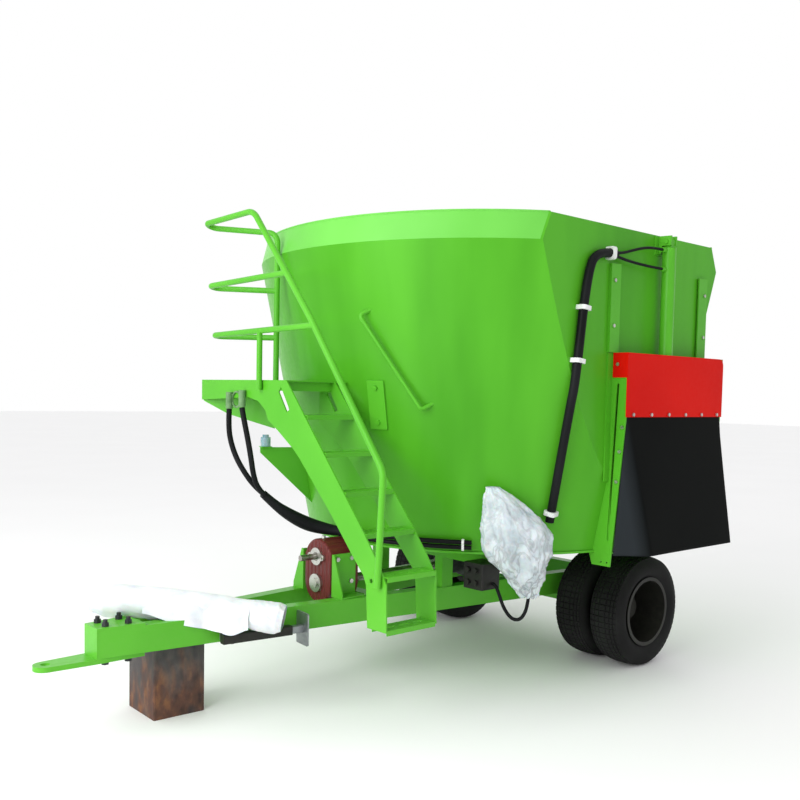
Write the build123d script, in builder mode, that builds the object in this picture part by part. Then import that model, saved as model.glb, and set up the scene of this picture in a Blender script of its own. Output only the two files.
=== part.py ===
from build123d import *
import math
import os

os.makedirs("parts", exist_ok=True)

# Vertical feed mixer wagon. Millimetres, +Z up, ground at z = 0.
# The drawbar points to -X, the discharge and the ladder foot are on the -Y side.

# Where the tub axis stands in the shared frame
TUB_X = 776.5
TUB_Y = -44.0

# General clearances
GAP = 0.3             # between pieces that only lie next to each other
FIT = 0.05            # radial play of a shaft in its bore
HUGE = 8000

# Tub
FLOOR_R = 1148        # outer wall radius where the wall meets the floor underside
FLOOR_Z = 828         # underside of the floor
FLOOR_T = 12
FLOOR_EDGE = 12       # how far the floor disc stands out of the wall
RIM_R = 1492          # widest radius of the tub
RIM_Z = 2540
BAND_IN = 37          # how far the band leans inward to its top edge
BAND_Z = 2689
WALL = 6
BEAD_R = 7            # rolled top edge
BEAD_SIDES = 8
FLAT_Y = 1208         # distance of the flat side from the tub axis
PANEL_T = 8

# Discharge on the flat side
DOOR_LEFT = -203
DOOR_RIGHT = 653
DOOR_BOTTOM = 846
DOOR_TOP = 1560
DOOR_T = 8
DOOR_RIM = 34         # how far the door laps over the opening
DOOR_TRAVEL = 640
OPEN_TOP = 1500
SIDE_LEFT = -229      # outer face of the left side plate
SIDE_RIGHT = 786      # inner face of the right side plate
SIDE_T = 8
SIDE_FOOT = 757
SIDE_OUT_TOP = 1324
SIDE_OUT_FOOT = 1250
SIDE_KNEE = 1600
SLOT_W = 14
GUIDE_SPACER = 10
GUIDE_COVER = 8
GUIDE_TOP = 2480
HOOD_T = 5
HOOD_Y = 1330         # front face of the hood
HOOD_LOW = 1618
HOOD_HIGH = 1980
SIDE_TOP = HOOD_HIGH - 1
LEDGE_LOW = 1250      # foot of the flange beside the left side plate
APRON_T = 8
APRON_FLARE = 1404    # how far out the apron hangs at its foot
APRON_FOOT = 822

# Door ram
RAM_Y = 1275
BARREL_R = 40
BORE_R = 33
ROD_R = 20
RAM_PIN_R = 12.5
RAM_TOP = 2650        # upper pin
RAM_FOOT = 940        # lower pin
BARREL_LOW = 1700
BARREL_HIGH = RAM_TOP - 60

# Bolts
BOLT_D = 12
HEAD_D = 22
HEAD_H = 8

# Drawbar rails
RAIL_FRONT = -2750
RAIL_BACK = 850
RAIL_LOW = 399
RAIL_H = 139
RAIL_W = 80
RAIL_WALL = 6
HEAD_HALF = 72        # half width of the drawbar head
RAIL_SPREAD = 0.1253  # how much each rail moves outward per length
EYE_X = -2987
EYE_R = 58
EYE_BORE = 23
TONGUE_T = 25
HITCH_BOLT_D = 22
HITCH_BOLT_X = (-2707, -2590)
HITCH_BOLT_Y = (45, 54)

# Gearbox
BOX_FRONT = -1375
BOX_BACK = -1170
BOX_R = 128
BOX_WALL = 14
INPUT_Z = 757
OUTPUT_Z = 600
SHAFT_R = 25
STUB_R = 17.5
STUB_END = -1500
INPUT_GEAR_R = 56.7
OUTPUT_GEAR_R = 99.7
MOUNT_Y = 140
MOUNT_T = 8

# Axle and wheels
AXLE_X = 502
WHEEL_R = 356
AXLE_BAR = 76
AXLE_END = 560
SPINDLE_R = 35
TYRE_W = 232
TYRE_OUTER_IN = 819   # inner face of the outer tyre, from the middle of the wagon
TYRE_INNER_IN = 543
SHOULDER = 40         # rounding of the tyre shoulders
RIM_RAD = 205
FLANGE_IN = 790       # wheel flange between the two discs
FLANGE_T = 10
DISC_T = 8
NUT_CIRCLE = 105
NUT_COUNT = 8

# Ladder and platform
LADDER_X = -1753      # front face of the front stringer
STEP_LEN = 322
STRINGER_T = 8
STEP_PITCH = 190
STEP_LEAN = 0.8844
STEP_LOW_Z = 841
STEP_LOW_Y = -1056
STEP_DEPTH = 115
STEP_T = 5
STEP_LIP = 25
FOOT_STEP_Z = 581
DECK_Z = 1785
DECK_T = 8
RAIL_TUBE = 34
RAIL_TUBE_WALL = 3
RAIL_X = LADDER_X - RAIL_TUBE / 2 - GAP
POST_X = -1487
POST_Y = 290

# Auger
CORE_R = 170
CORE_TOP = 2180
FLIGHT_LOW = 885
FLIGHT_HIGH = 2050
FLIGHT_R_LOW = 1040
FLIGHT_R_HIGH = 300
FLIGHT_TURNS = 2.5
FLIGHT_T = 15
FLIGHT_STEP = 15      # degrees between the sections of the flight
KNIFE_COUNT = 6
SPIGOT_R = 60

# Jack beside the near rail
JACK_X = -2070
JACK_Z = 430
JACK_TUBE = 50
JACK_OUT = 70         # jack axis outside the rail face
JACK_WALL = 5
JACK_REACH = 400
JACK_TAIL = 70        # part of the tube in front of its pivot

# Joint shaft in film
PTO_FRONT = (-2600, 190, 625)
PTO_BEND = (-2090, -170, 585.3)
PTO_END = (-1900, -350, 535)
PTO_TUBE_R = 36
FILM_FRONT_R = 74
FILM_NECK_R = 46      # where it crosses the near rail
FILM_END_R = 78
FILM_T = 4

# Box below the drawbar
BLOCK_X = -2275
BLOCK_Y = 140
BLOCK_LONG = 292
BLOCK_WIDE = 312
BLOCK_TURN = -2
BLOCK_WALL = 8

# Hoses
PIPE_D = 26
RISER_D = 50
RAM_HOSE_D = 16
LOOP_D = 20
STRAND_D = 32
SLEEVE_R = (24, 27, 37, 43, 37, 28, 25, 25)

TUB_AXIS = Axis((TUB_X, TUB_Y, 0), (0, 0, 1))
BAND_R = RIM_R - BAND_IN
WALL_SLOPE = (RIM_R - FLOOR_R) / (RIM_Z - FLOOR_Z)
PANEL_Y = FLAT_Y + PANEL_T
DOOR_X = (DOOR_LEFT + DOOR_RIGHT) / 2
RAIL_HIGH = RAIL_LOW + RAIL_H
TYRE_LIFT = WHEEL_R


def at(x, y, z):
    """A point given from the tub axis, in the shared frame."""
    return (TUB_X + x, TUB_Y + y, z)


def level(z):
    """Level plane; sketches hold (x, y)."""
    return Plane(origin=at(0, 0, z))


def across(x):
    """Upright plane across the wagon; sketches hold (y, z) and grow to +X."""
    return Plane(origin=at(x, 0, 0), x_dir=(0, 1, 0), z_dir=(1, 0, 0))


def along(y):
    """Upright plane along the wagon; sketches hold (x, z) and grow to -Y."""
    return Plane(origin=at(0, y, 0), x_dir=(1, 0, 0), z_dir=(0, -1, 0))


def radial(angle):
    """Upright plane through the tub axis; sketches hold (radius, z)."""
    c = math.cos(math.radians(angle))
    s = math.sin(math.radians(angle))
    return Plane(origin=at(0, 0, 0), x_dir=(c, s, 0), z_dir=(s, -c, 0))


def tub_radius(z):
    """Outer radius of the tub wall at a height."""
    return FLOOR_R + WALL_SLOPE * (z - FLOOR_Z)


def wall_point(angle, z, off):
    """Point standing off the tub wall, given from the tub axis."""
    r = tub_radius(z) + off
    return (r * math.cos(math.radians(angle)), r * math.sin(math.radians(angle)), z)


def wall_plane(angle, z, off):
    """Plane lying on the tub wall: x runs round the tub, y up the wall, z outward."""
    c = math.cos(math.radians(angle))
    s = math.sin(math.radians(angle))
    lean = math.hypot(1, WALL_SLOPE)
    out = Vector(c / lean, s / lean, -WALL_SLOPE / lean)
    foot = Vector(*at(*wall_point(angle, z, 0)))
    return Plane(origin=foot + out * off, x_dir=(-s, c, 0), z_dir=out)


def rail_outer(x):
    """Distance of a rail's outer face from the middle of the wagon."""
    return HEAD_HALF + RAIL_SPREAD * (x - RAIL_FRONT)


def tub_block(grow=0.0):
    """The whole tub as a filled body, grown outward by a clearance."""
    with BuildPart() as body:
        with BuildSketch(radial(0)):
            with BuildLine():
                Polyline(
                    (0, FLOOR_Z - grow),
                    (FLOOR_R + grow, FLOOR_Z - grow),
                    (RIM_R + grow, RIM_Z),
                    (BAND_R + grow, BAND_Z + grow),
                    (0, BAND_Z + grow),
                    close=True,
                )
            make_face()
        revolve(axis=TUB_AXIS)
    return body.part


def tub_inside(grow=0.0):
    """The filled tub with its flat side, used to trim what stands outside it."""
    with BuildPart() as body:
        add(tub_block(grow))
        with Locations(at(0, -FLAT_Y - grow - HUGE / 2, 0)):
            Box(HUGE, HUGE, HUGE, mode=Mode.SUBTRACT)
    return body.part


def bent_tube(points, radii, diameter, wall=0.0):
    """A round tube or rod along straight runs joined by arcs."""
    places = [at(*p) for p in points]
    with BuildPart() as run:
        with BuildLine() as route:
            FilletPolyline(*places, radius=radii)
        with BuildSketch(Plane(origin=route.line @ 0, z_dir=route.line % 0)):
            Circle(diameter / 2)
            if wall:
                Circle(diameter / 2 - wall, mode=Mode.SUBTRACT)
        sweep(path=route.line)
    return run.part


def hose(points, diameter):
    """A hose along straight runs; each bend takes up most of its shorter run."""
    radii = []
    for before, corner, after in zip(points, points[1:], points[2:]):
        one = Vector(*corner) - Vector(*before)
        two = Vector(*after) - Vector(*corner)
        turn = math.radians(one.get_angle(two))
        radii.append(0.45 * min(one.length, two.length) / math.tan(turn / 2))
    return bent_tube(points, radii, diameter)


def sheet(points, thickness):
    """A flat sheet through given points of one plane, grown along that plane's normal."""
    places = [Vector(*at(*p)) for p in points]
    side = (places[1] - places[0]).normalized()
    normal = side.cross(places[2] - places[0]).normalized()
    plane = Plane(origin=places[0], x_dir=side, z_dir=normal)
    local = [plane.to_local_coords(p) for p in places]
    with BuildPart() as made:
        with BuildSketch(plane):
            with BuildLine():
                Polyline(*[(p.X, p.Y) for p in local], close=True)
            make_face()
        extrude(amount=thickness)
    return made.part


def bolt(diameter, head, head_height, shank):
    """Hexagon bolt: the head stands on z = 0, the shank goes down."""
    with BuildPart() as made:
        with BuildSketch():
            RegularPolygon(head / 2, 6)
        extrude(amount=head_height)
        with Locations((0, 0, -shank / 2)):
            Cylinder(diameter / 2, shank)
    return made.part


def rod_between(start, end, radius_a, radius_b):
    """Straight round bar or cone between two points."""
    a = Vector(*at(*start))
    b = Vector(*at(*end))
    with BuildPart() as made:
        with BuildSketch(Plane(origin=a, z_dir=b - a)):
            Circle(radius_a)
        with BuildSketch(Plane(origin=b, z_dir=b - a)):
            Circle(radius_b)
        loft()
    return made.part


# Bolt places on the discharge, shared by the bolts and by the plates they go through
COVER_FACE = PANEL_Y + GUIDE_SPACER + GUIDE_COVER
GUIDE_LEFT_X = SIDE_LEFT - 20
GUIDE_RIGHT_X = DOOR_RIGHT + 48
GUIDE_BOLT_PLANES = [
    Plane(origin=at(x, -COVER_FACE, z), z_dir=(0, -1, 0))
    for x, z in (
        (GUIDE_LEFT_X, 2385),
        (GUIDE_LEFT_X, 2131),
        (GUIDE_RIGHT_X, 2375),
        (GUIDE_RIGHT_X, 2116),
        (GUIDE_RIGHT_X, 1750),
    )
]
HOOD_BOLT_COUNT = 6
HOOD_BOLT_PITCH = (SIDE_RIGHT - SIDE_LEFT - 110) / (HOOD_BOLT_COUNT - 1)
HOOD_BOLT_PLANES = [
    Plane(origin=at(SIDE_LEFT + 60 + i * HOOD_BOLT_PITCH, -HOOD_Y, HOOD_LOW + 14), z_dir=(0, -1, 0))
    for i in range(HOOD_BOLT_COUNT)
]
EAR_Y = 1265
EAR_Z = 1915
EAR_LOW = 1840


def side_edge(z):
    """Distance of the side plates' outer edge from the tub axis at a height."""
    part_way = (z - SIDE_FOOT) / (SIDE_KNEE - SIDE_FOOT)
    return SIDE_OUT_FOOT + (SIDE_OUT_TOP - SIDE_OUT_FOOT) * min(max(part_way, 0), 1)


LEFT_BOLT_PLANES = [
    Plane(origin=at(SIDE_LEFT, -side_edge(z) + 16, z), z_dir=(-1, 0, 0)) for z in (1560, 1422, 1250)
]
RIGHT_BOLT_PLANES = [
    Plane(origin=at(SIDE_RIGHT + SIDE_T, -side_edge(z) + 16, z), z_dir=(1, 0, 0)) for z in (1560, 1422, 1250)
]
EAR_BOLT_PLANES = [
    Plane(origin=at(SIDE_LEFT - HOOD_T, -EAR_Y, EAR_Z), z_dir=(-1, 0, 0)),
    Plane(origin=at(SIDE_RIGHT + SIDE_T + HOOD_T, -EAR_Y, EAR_Z), z_dir=(1, 0, 0)),
]
KNIFE_ANGLES = (-163, 25)
KNIFE_Z = 1660

# Tub wall with its flat side open for the discharge
with BuildPart() as tub_shell:
    with BuildSketch(radial(0)):
        with BuildLine():
            Polyline(
                (tub_radius(FLOOR_Z + FLOOR_T), FLOOR_Z + FLOOR_T),
                (RIM_R, RIM_Z),
                (RIM_R - WALL, RIM_Z),
                (tub_radius(FLOOR_Z + FLOOR_T) - WALL, FLOOR_Z + FLOOR_T),
                close=True,
            )
        make_face()
    revolve(axis=TUB_AXIS)
    with Locations(at(0, -FLAT_Y - HUGE / 2, 0)):
        Box(HUGE, HUGE, HUGE, mode=Mode.SUBTRACT)
    with Locations(at(DOOR_X, -FLAT_Y, (FLOOR_Z + FLOOR_T + OPEN_TOP) / 2)):
        Box(DOOR_RIGHT - DOOR_LEFT - 2 * DOOR_RIM, FLAT_Y, OPEN_TOP - FLOOR_Z - FLOOR_T, mode=Mode.SUBTRACT)
    with Locations(*[wall_plane(a, KNIFE_Z, 0) for a in KNIFE_ANGLES]):
        Box(14, 210, 60, mode=Mode.SUBTRACT)
tub_shell.part.label = "tub_shell"
export_step(tub_shell.part, "parts/tub_shell.step")

# Floor disc, standing out all round below the wall
with BuildPart() as tub_floor:
    with BuildSketch(level(FLOOR_Z)):
        Circle(FLOOR_R + FLOOR_EDGE)
        Circle(SPIGOT_R + 4, mode=Mode.SUBTRACT)
    extrude(amount=FLOOR_T)
tub_floor.part.label = "tub_floor"
export_step(tub_floor.part, "parts/tub_floor.step")

# Band above the widest line, leaning inward, with a rolled top edge
with BuildPart() as rim_band:
    with BuildSketch(radial(0)):
        with BuildLine():
            Polyline(
                (RIM_R, RIM_Z),
                (BAND_R, BAND_Z),
                (BAND_R - WALL, BAND_Z),
                (RIM_R - WALL, RIM_Z),
                close=True,
            )
        make_face()
        with Locations((BAND_R - WALL / 2, BAND_Z)):
            RegularPolygon(BEAD_R, BEAD_SIDES)
    revolve(axis=TUB_AXIS)
    with Locations(at(0, -FLAT_Y - HUGE / 2, 0)):
        Box(HUGE, HUGE, HUGE, mode=Mode.SUBTRACT)
rim_band.part.label = "rim_band"
export_step(rim_band.part, "parts/rim_band.step")

# Flat panel of the discharge side
with BuildPart() as discharge_panel:
    add(tub_block())
    with Locations(at(0, -FLAT_Y - PANEL_T / 2, 0)):
        Box(HUGE, PANEL_T, HUGE, mode=Mode.INTERSECT)
    with BuildSketch(along(-FLAT_Y)):
        with Locations(((SIDE_LEFT + SIDE_T + SIDE_RIGHT) / 2, (FLOOR_Z + FLOOR_T + SIDE_TOP) / 2)):
            Rectangle(SIDE_RIGHT - SIDE_LEFT - SIDE_T, SIDE_TOP - FLOOR_Z - FLOOR_T)
    extrude(amount=PANEL_T)
    with Locations(at(DOOR_X, -FLAT_Y, (FLOOR_Z + OPEN_TOP) / 2)):
        Box(DOOR_RIGHT - DOOR_LEFT - 2 * DOOR_RIM, FLAT_Y, OPEN_TOP - FLOOR_Z, mode=Mode.SUBTRACT)
    with Locations(at(SIDE_LEFT + SIDE_T / 2, -FLAT_Y, SIDE_TOP / 2), at(SIDE_RIGHT + SIDE_T / 2, -FLAT_Y, SIDE_TOP / 2)):
        Box(SIDE_T, 4 * PANEL_T, SIDE_TOP, mode=Mode.SUBTRACT)
    with Locations(*GUIDE_BOLT_PLANES):
        Cylinder(BOLT_D / 2 + GAP, 100, mode=Mode.SUBTRACT)
discharge_panel.part.label = "discharge_panel"
export_step(discharge_panel.part, "parts/discharge_panel.step")

# Side plates of the discharge with their long slots, floor lip and a flange beside the left plate
SLOT_HIGH = (-SIDE_OUT_TOP + 58, 1800)
SLOT_FOOT = (-SIDE_OUT_FOOT + 20, 915)
SLOT_RUN = math.hypot(SLOT_HIGH[0] - SLOT_FOOT[0], SLOT_HIGH[1] - SLOT_FOOT[1])
SLOT_TURN = math.degrees(math.atan2(SLOT_HIGH[1] - SLOT_FOOT[1], SLOT_HIGH[0] - SLOT_FOOT[0]))
with BuildPart() as discharge_sides:
    for face, foot in ((SIDE_LEFT, SIDE_FOOT), (SIDE_RIGHT, FLOOR_Z - 2 * GAP)):
        with BuildSketch(across(face)):
            with BuildLine():
                Polyline(
                    (-SIDE_OUT_TOP, SIDE_TOP),
                    (-SIDE_OUT_TOP, SIDE_KNEE),
                    (-side_edge(foot), foot),
                    (-SIDE_OUT_FOOT + 125, foot),
                    (-SIDE_OUT_FOOT + 150, FLOOR_Z - GAP),
                    (-FLOOR_R * 0.6, FLOOR_Z - GAP),
                    (-FLOOR_R * 0.6, SIDE_TOP),
                    close=True,
                )
            make_face()
            with Locations(((SLOT_HIGH[0] + SLOT_FOOT[0]) / 2, (SLOT_HIGH[1] + SLOT_FOOT[1]) / 2)):
                SlotCenterToCenter(SLOT_RUN, SLOT_W, rotation=SLOT_TURN, mode=Mode.SUBTRACT)
            with Locations((-SIDE_OUT_FOOT + 22, SIDE_FOOT + 22), (-SIDE_OUT_FOOT + 62, SIDE_FOOT + 22)):
                Circle(BOLT_D / 2, mode=Mode.SUBTRACT)
        extrude(amount=SIDE_T)
    with BuildSketch(level(FLOOR_Z)):
        with Locations(((SIDE_LEFT + SIDE_T + SIDE_RIGHT) / 2, -FLAT_Y + 200)):
            Rectangle(SIDE_RIGHT - SIDE_LEFT - SIDE_T, 464)
    extrude(amount=FLOOR_T)
    with BuildSketch(along(-PANEL_Y)):
        with Locations((SIDE_LEFT - 22, (LEDGE_LOW + SIDE_TOP) / 2)):
            Rectangle(44, SIDE_TOP - LEDGE_LOW)
    extrude(amount=GUIDE_COVER)
    add(tub_inside(), mode=Mode.SUBTRACT)
    with Locations(at(0, 0, FLOOR_Z + FLOOR_T / 2)):
        Cylinder(FLOOR_R + FLOOR_EDGE, FLOOR_T, mode=Mode.SUBTRACT)
    with Locations(*(LEFT_BOLT_PLANES + RIGHT_BOLT_PLANES + EAR_BOLT_PLANES)):
        Cylinder(BOLT_D / 2 + GAP, 60, mode=Mode.SUBTRACT)
discharge_sides.part.label = "discharge_sides"
export_step(discharge_sides.part, "parts/discharge_sides.step")

# Guides that hold the sliding door against the panel
LEFT_STOP = DOOR_LEFT - 2
RIGHT_STOP = DOOR_RIGHT + 2
LAP = 15              # how far a cover laps over the door
with BuildPart() as door_guides:
    with BuildSketch(along(-PANEL_Y)):
        with Locations(((SIDE_LEFT + SIDE_T + LEFT_STOP) / 2, (DOOR_BOTTOM + GUIDE_TOP) / 2)):
            Rectangle(LEFT_STOP - SIDE_LEFT - SIDE_T, GUIDE_TOP - DOOR_BOTTOM)
        with Locations(((RIGHT_STOP + GUIDE_RIGHT_X + 34) / 2, (DOOR_BOTTOM + GUIDE_TOP) / 2)):
            Rectangle(GUIDE_RIGHT_X + 34 - RIGHT_STOP, GUIDE_TOP - DOOR_BOTTOM)
        with Locations((SIDE_LEFT - 20, (SIDE_TOP + GUIDE_TOP) / 2)):
            Rectangle(60, GUIDE_TOP - SIDE_TOP - 4)
    extrude(amount=GUIDE_SPACER)
    with BuildSketch(along(-PANEL_Y - GUIDE_SPACER)):
        with Locations(((SIDE_LEFT + SIDE_T + LEFT_STOP + LAP) / 2, (DOOR_BOTTOM + GUIDE_TOP) / 2)):
            Rectangle(LEFT_STOP + LAP - SIDE_LEFT - SIDE_T, GUIDE_TOP - DOOR_BOTTOM)
        with Locations(((RIGHT_STOP - LAP + GUIDE_RIGHT_X + 34) / 2, (DOOR_BOTTOM + GUIDE_TOP) / 2)):
            Rectangle(GUIDE_RIGHT_X + 34 - RIGHT_STOP + LAP, GUIDE_TOP - DOOR_BOTTOM)
        with Locations((SIDE_LEFT - 20, (SIDE_TOP + GUIDE_TOP) / 2)):
            Rectangle(60, GUIDE_TOP - SIDE_TOP - 4)
    extrude(amount=GUIDE_COVER)
    with Locations(*GUIDE_BOLT_PLANES):
        Cylinder(BOLT_D / 2 + GAP, 100, mode=Mode.SUBTRACT)
door_guides.part.label = "door_guides"
export_step(door_guides.part, "parts/door_guides.step")

# Sliding door with two flat bars and the lug of the ram
LUG_GAP = 40
LUG_T = 12
DOOR_FACE = PANEL_Y + 0.6 + DOOR_T
with BuildPart() as door:
    with BuildSketch(along(-PANEL_Y - 0.6)):
        with Locations((DOOR_X, (DOOR_BOTTOM + DOOR_TOP) / 2)):
            Rectangle(DOOR_RIGHT - DOOR_LEFT, DOOR_TOP - DOOR_BOTTOM)
    extrude(amount=DOOR_T)
    with BuildSketch(along(-DOOR_FACE)):
        with Locations((DOOR_X, DOOR_BOTTOM + 30), (DOOR_X, DOOR_TOP - 30)):
            Rectangle(DOOR_RIGHT - DOOR_LEFT - 2 * LAP - 30, 34)
    extrude(amount=6)
    for side in (DOOR_X - LUG_GAP / 2 - LUG_T, DOOR_X + LUG_GAP / 2):
        with BuildSketch(across(side)):
            with BuildLine():
                Polyline(
                    (-DOOR_FACE, RAM_FOOT - 50),
                    (-RAM_Y - 24, RAM_FOOT - 24),
                    (-RAM_Y - 24, RAM_FOOT + 24),
                    (-DOOR_FACE, RAM_FOOT + 50),
                    close=True,
                )
            make_face()
            with Locations((-RAM_Y, RAM_FOOT)):
                Circle(RAM_PIN_R + FIT, mode=Mode.SUBTRACT)
        extrude(amount=LUG_T)
door.part.label = "door"
export_step(door.part, "parts/door.step")

# Ram rod with piston, lower eye and its pin
PISTON_H = 40
with BuildPart() as cylinder_rod:
    with Locations(at(DOOR_X, -RAM_Y, (RAM_FOOT + BARREL_LOW + 60) / 2)):
        Cylinder(ROD_R, BARREL_LOW + 60 - RAM_FOOT)
    with Locations(at(DOOR_X, -RAM_Y, BARREL_LOW + 60 + PISTON_H / 2)):
        Cylinder(BORE_R - FIT, PISTON_H)
    with BuildSketch(across(DOOR_X - LUG_GAP / 2 + 1)):
        with Locations((-RAM_Y, RAM_FOOT)):
            Circle(24)
    extrude(amount=LUG_GAP - 2)
    with BuildSketch(across(DOOR_X - LUG_GAP / 2 - LUG_T - 8)):
        with Locations((-RAM_Y, RAM_FOOT)):
            Circle(RAM_PIN_R)
    extrude(amount=LUG_GAP + 2 * LUG_T + 16)
cylinder_rod.part.label = "cylinder_rod"
export_step(cylinder_rod.part, "parts/cylinder_rod.step")

# Ram barrel with gland, top eye and two hose ports
PORT_Z = (BARREL_HIGH + 8, BARREL_HIGH - 104)
PORT_REACH = 72
with BuildPart() as cylinder_barrel:
    with BuildSketch(Plane(origin=at(DOOR_X, -RAM_Y, 0), x_dir=(1, 0, 0), z_dir=(0, -1, 0))):
        with BuildLine():
            Polyline(
                (ROD_R + FIT, BARREL_LOW),
                (BARREL_R + 3, BARREL_LOW),
                (BARREL_R + 3, BARREL_LOW + 40),
                (BARREL_R, BARREL_LOW + 40),
                (BARREL_R, BARREL_HIGH + 22),
                (0, BARREL_HIGH + 22),
                (0, BARREL_HIGH),
                (BORE_R, BARREL_HIGH),
                (BORE_R, BARREL_LOW + 40),
                (ROD_R + FIT, BARREL_LOW + 40),
                close=True,
            )
        make_face()
    revolve(axis=Axis(at(DOOR_X, -RAM_Y, 0), (0, 0, 1)))
    with BuildSketch(across(DOOR_X - LUG_GAP / 2 + 1)):
        with Locations((-RAM_Y, (RAM_TOP + BARREL_HIGH + 22) / 2)):
            Rectangle(48, RAM_TOP - BARREL_HIGH - 22)
        with Locations((-RAM_Y, RAM_TOP)):
            Circle(26)
        with Locations((-RAM_Y, RAM_TOP)):
            Circle(RAM_PIN_R + FIT, mode=Mode.SUBTRACT)
    extrude(amount=LUG_GAP - 2)
    with BuildSketch(across(DOOR_X - PORT_REACH)):
        with Locations(*[(-RAM_Y, z) for z in PORT_Z]):
            Circle(14)
    extrude(amount=PORT_REACH - BORE_R - 2)
cylinder_barrel.part.label = "cylinder_barrel"
export_step(cylinder_barrel.part, "parts/cylinder_barrel.step")

# Bracket and pin that carry the ram
with BuildPart() as cylinder_bracket:
    with BuildSketch(along(-PANEL_Y)):
        with Locations((DOOR_X, RAM_TOP - 20)):
            Rectangle(130, 110)
    extrude(amount=8)
    for side in (DOOR_X - LUG_GAP / 2 - LUG_T, DOOR_X + LUG_GAP / 2):
        with BuildSketch(across(side)):
            with BuildLine():
                Polyline(
                    (-PANEL_Y - 8, RAM_TOP - 70),
                    (-RAM_Y - 30, RAM_TOP - 26),
                    (-RAM_Y - 30, RAM_TOP + 32),
                    (-PANEL_Y - 8, RAM_TOP + 35),
                    close=True,
                )
            make_face()
        extrude(amount=LUG_T)
    with Locations(at(DOOR_X, -RAM_Y, RAM_TOP - 55)):
        Cylinder(BARREL_R + 4, 62, mode=Mode.SUBTRACT)
    with BuildSketch(across(DOOR_X - LUG_GAP / 2 - LUG_T - 8)):
        with Locations((-RAM_Y, RAM_TOP)):
            Circle(RAM_PIN_R)
    extrude(amount=LUG_GAP + 2 * LUG_T + 16)
cylinder_bracket.part.label = "cylinder_bracket"
export_step(cylinder_bracket.part, "parts/cylinder_bracket.step")

# Hood in front of the side plates, with an ear beside each
EAR_IN = PANEL_Y + GUIDE_COVER + 6
with BuildPart() as hood:
    with BuildSketch(along(-HOOD_Y + HOOD_T)) as face:
        with Locations(((SIDE_LEFT + SIDE_RIGHT + SIDE_T) / 2, (HOOD_LOW + HOOD_HIGH) / 2)):
            Rectangle(SIDE_RIGHT + SIDE_T - SIDE_LEFT + 2 * HOOD_T, HOOD_HIGH - HOOD_LOW)
        fillet(face.vertices().group_by(Axis.Z)[-1].sort_by(Axis.X)[-1], 45)
    extrude(amount=HOOD_T)
    for ear in (SIDE_LEFT - HOOD_T, SIDE_RIGHT + SIDE_T):
        with BuildSketch(across(ear)):
            with BuildLine():
                Polyline(
                    (-HOOD_Y + HOOD_T, EAR_LOW),
                    (-EAR_IN, EAR_LOW),
                    (-EAR_IN, HOOD_HIGH),
                    (-HOOD_Y + HOOD_T, HOOD_HIGH),
                    close=True,
                )
            make_face()
        extrude(amount=HOOD_T)
    with Locations(*(HOOD_BOLT_PLANES + EAR_BOLT_PLANES)):
        Cylinder(BOLT_D / 2 + GAP, 60, mode=Mode.SUBTRACT)
hood.part.label = "hood"
export_step(hood.part, "parts/hood.step")

# Rubber apron below the hood: a leaning front sheet and a gore folded back to the left side plate
APRON_LEFT = SIDE_LEFT + SIDE_T + 2
APRON_RIGHT = SIDE_RIGHT - 2
APRON_TOP = HOOD_LOW + 40
APRON_TOP_Y = HOOD_Y - HOOD_T - GAP
CREASE_X = -60


def apron_y(z):
    """Distance of the apron's outer face from the tub axis at a height."""
    reach = APRON_FLARE - APRON_TOP_Y
    return APRON_TOP_Y + reach * max(HOOD_LOW - z, 0) / (HOOD_LOW - APRON_FOOT)


with BuildPart() as apron:
    add(
        sheet(
            [
                (APRON_LEFT, -apron_y(HOOD_LOW), HOOD_LOW),
                (CREASE_X, -apron_y(APRON_FOOT), APRON_FOOT),
                (SIDE_RIGHT + 46, -apron_y(APRON_FOOT + 20), APRON_FOOT + 20),
                (APRON_RIGHT, -apron_y(1500), 1500),
                (APRON_RIGHT, -apron_y(HOOD_LOW), HOOD_LOW),
            ],
            -APRON_T,
        )
    )
    with BuildSketch(along(-APRON_TOP_Y + APRON_T)):
        with Locations(((APRON_LEFT + APRON_RIGHT) / 2, (HOOD_LOW - 2 + APRON_TOP) / 2)):
            Rectangle(APRON_RIGHT - APRON_LEFT, APRON_TOP - HOOD_LOW + 2)
    extrude(amount=APRON_T)
    add(
        sheet(
            [
                (APRON_LEFT, -apron_y(HOOD_LOW) + 1, HOOD_LOW - 4),
                (APRON_LEFT, -side_edge(APRON_FOOT) - 2, APRON_FOOT),
                (CREASE_X, -apron_y(APRON_FOOT) + 1, APRON_FOOT),
            ],
            -APRON_T,
        )
    )
    with Locations(*HOOD_BOLT_PLANES):
        Cylinder(BOLT_D / 2 + GAP, 60, mode=Mode.SUBTRACT)
apron.part.label = "apron"
export_step(apron.part, "parts/apron.step")

# Bolts of guides, hood and apron
with BuildPart() as panel_bolts:
    with Locations(*GUIDE_BOLT_PLANES):
        add(bolt(BOLT_D, HEAD_D, HEAD_H, GUIDE_SPACER + GUIDE_COVER + PANEL_T + 8))
    with Locations(*HOOD_BOLT_PLANES):
        add(bolt(BOLT_D, HEAD_D, HEAD_H, HOOD_T + APRON_T + 8))
    with Locations(*EAR_BOLT_PLANES):
        add(bolt(BOLT_D, HEAD_D, HEAD_H, HOOD_T + SIDE_T + 4))
    with Locations(*(LEFT_BOLT_PLANES + RIGHT_BOLT_PLANES)):
        add(bolt(BOLT_D, HEAD_D, HEAD_H, SIDE_T))
panel_bolts.part.label = "panel_bolts"
export_step(panel_bolts.part, "parts/panel_bolts.step")

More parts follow.
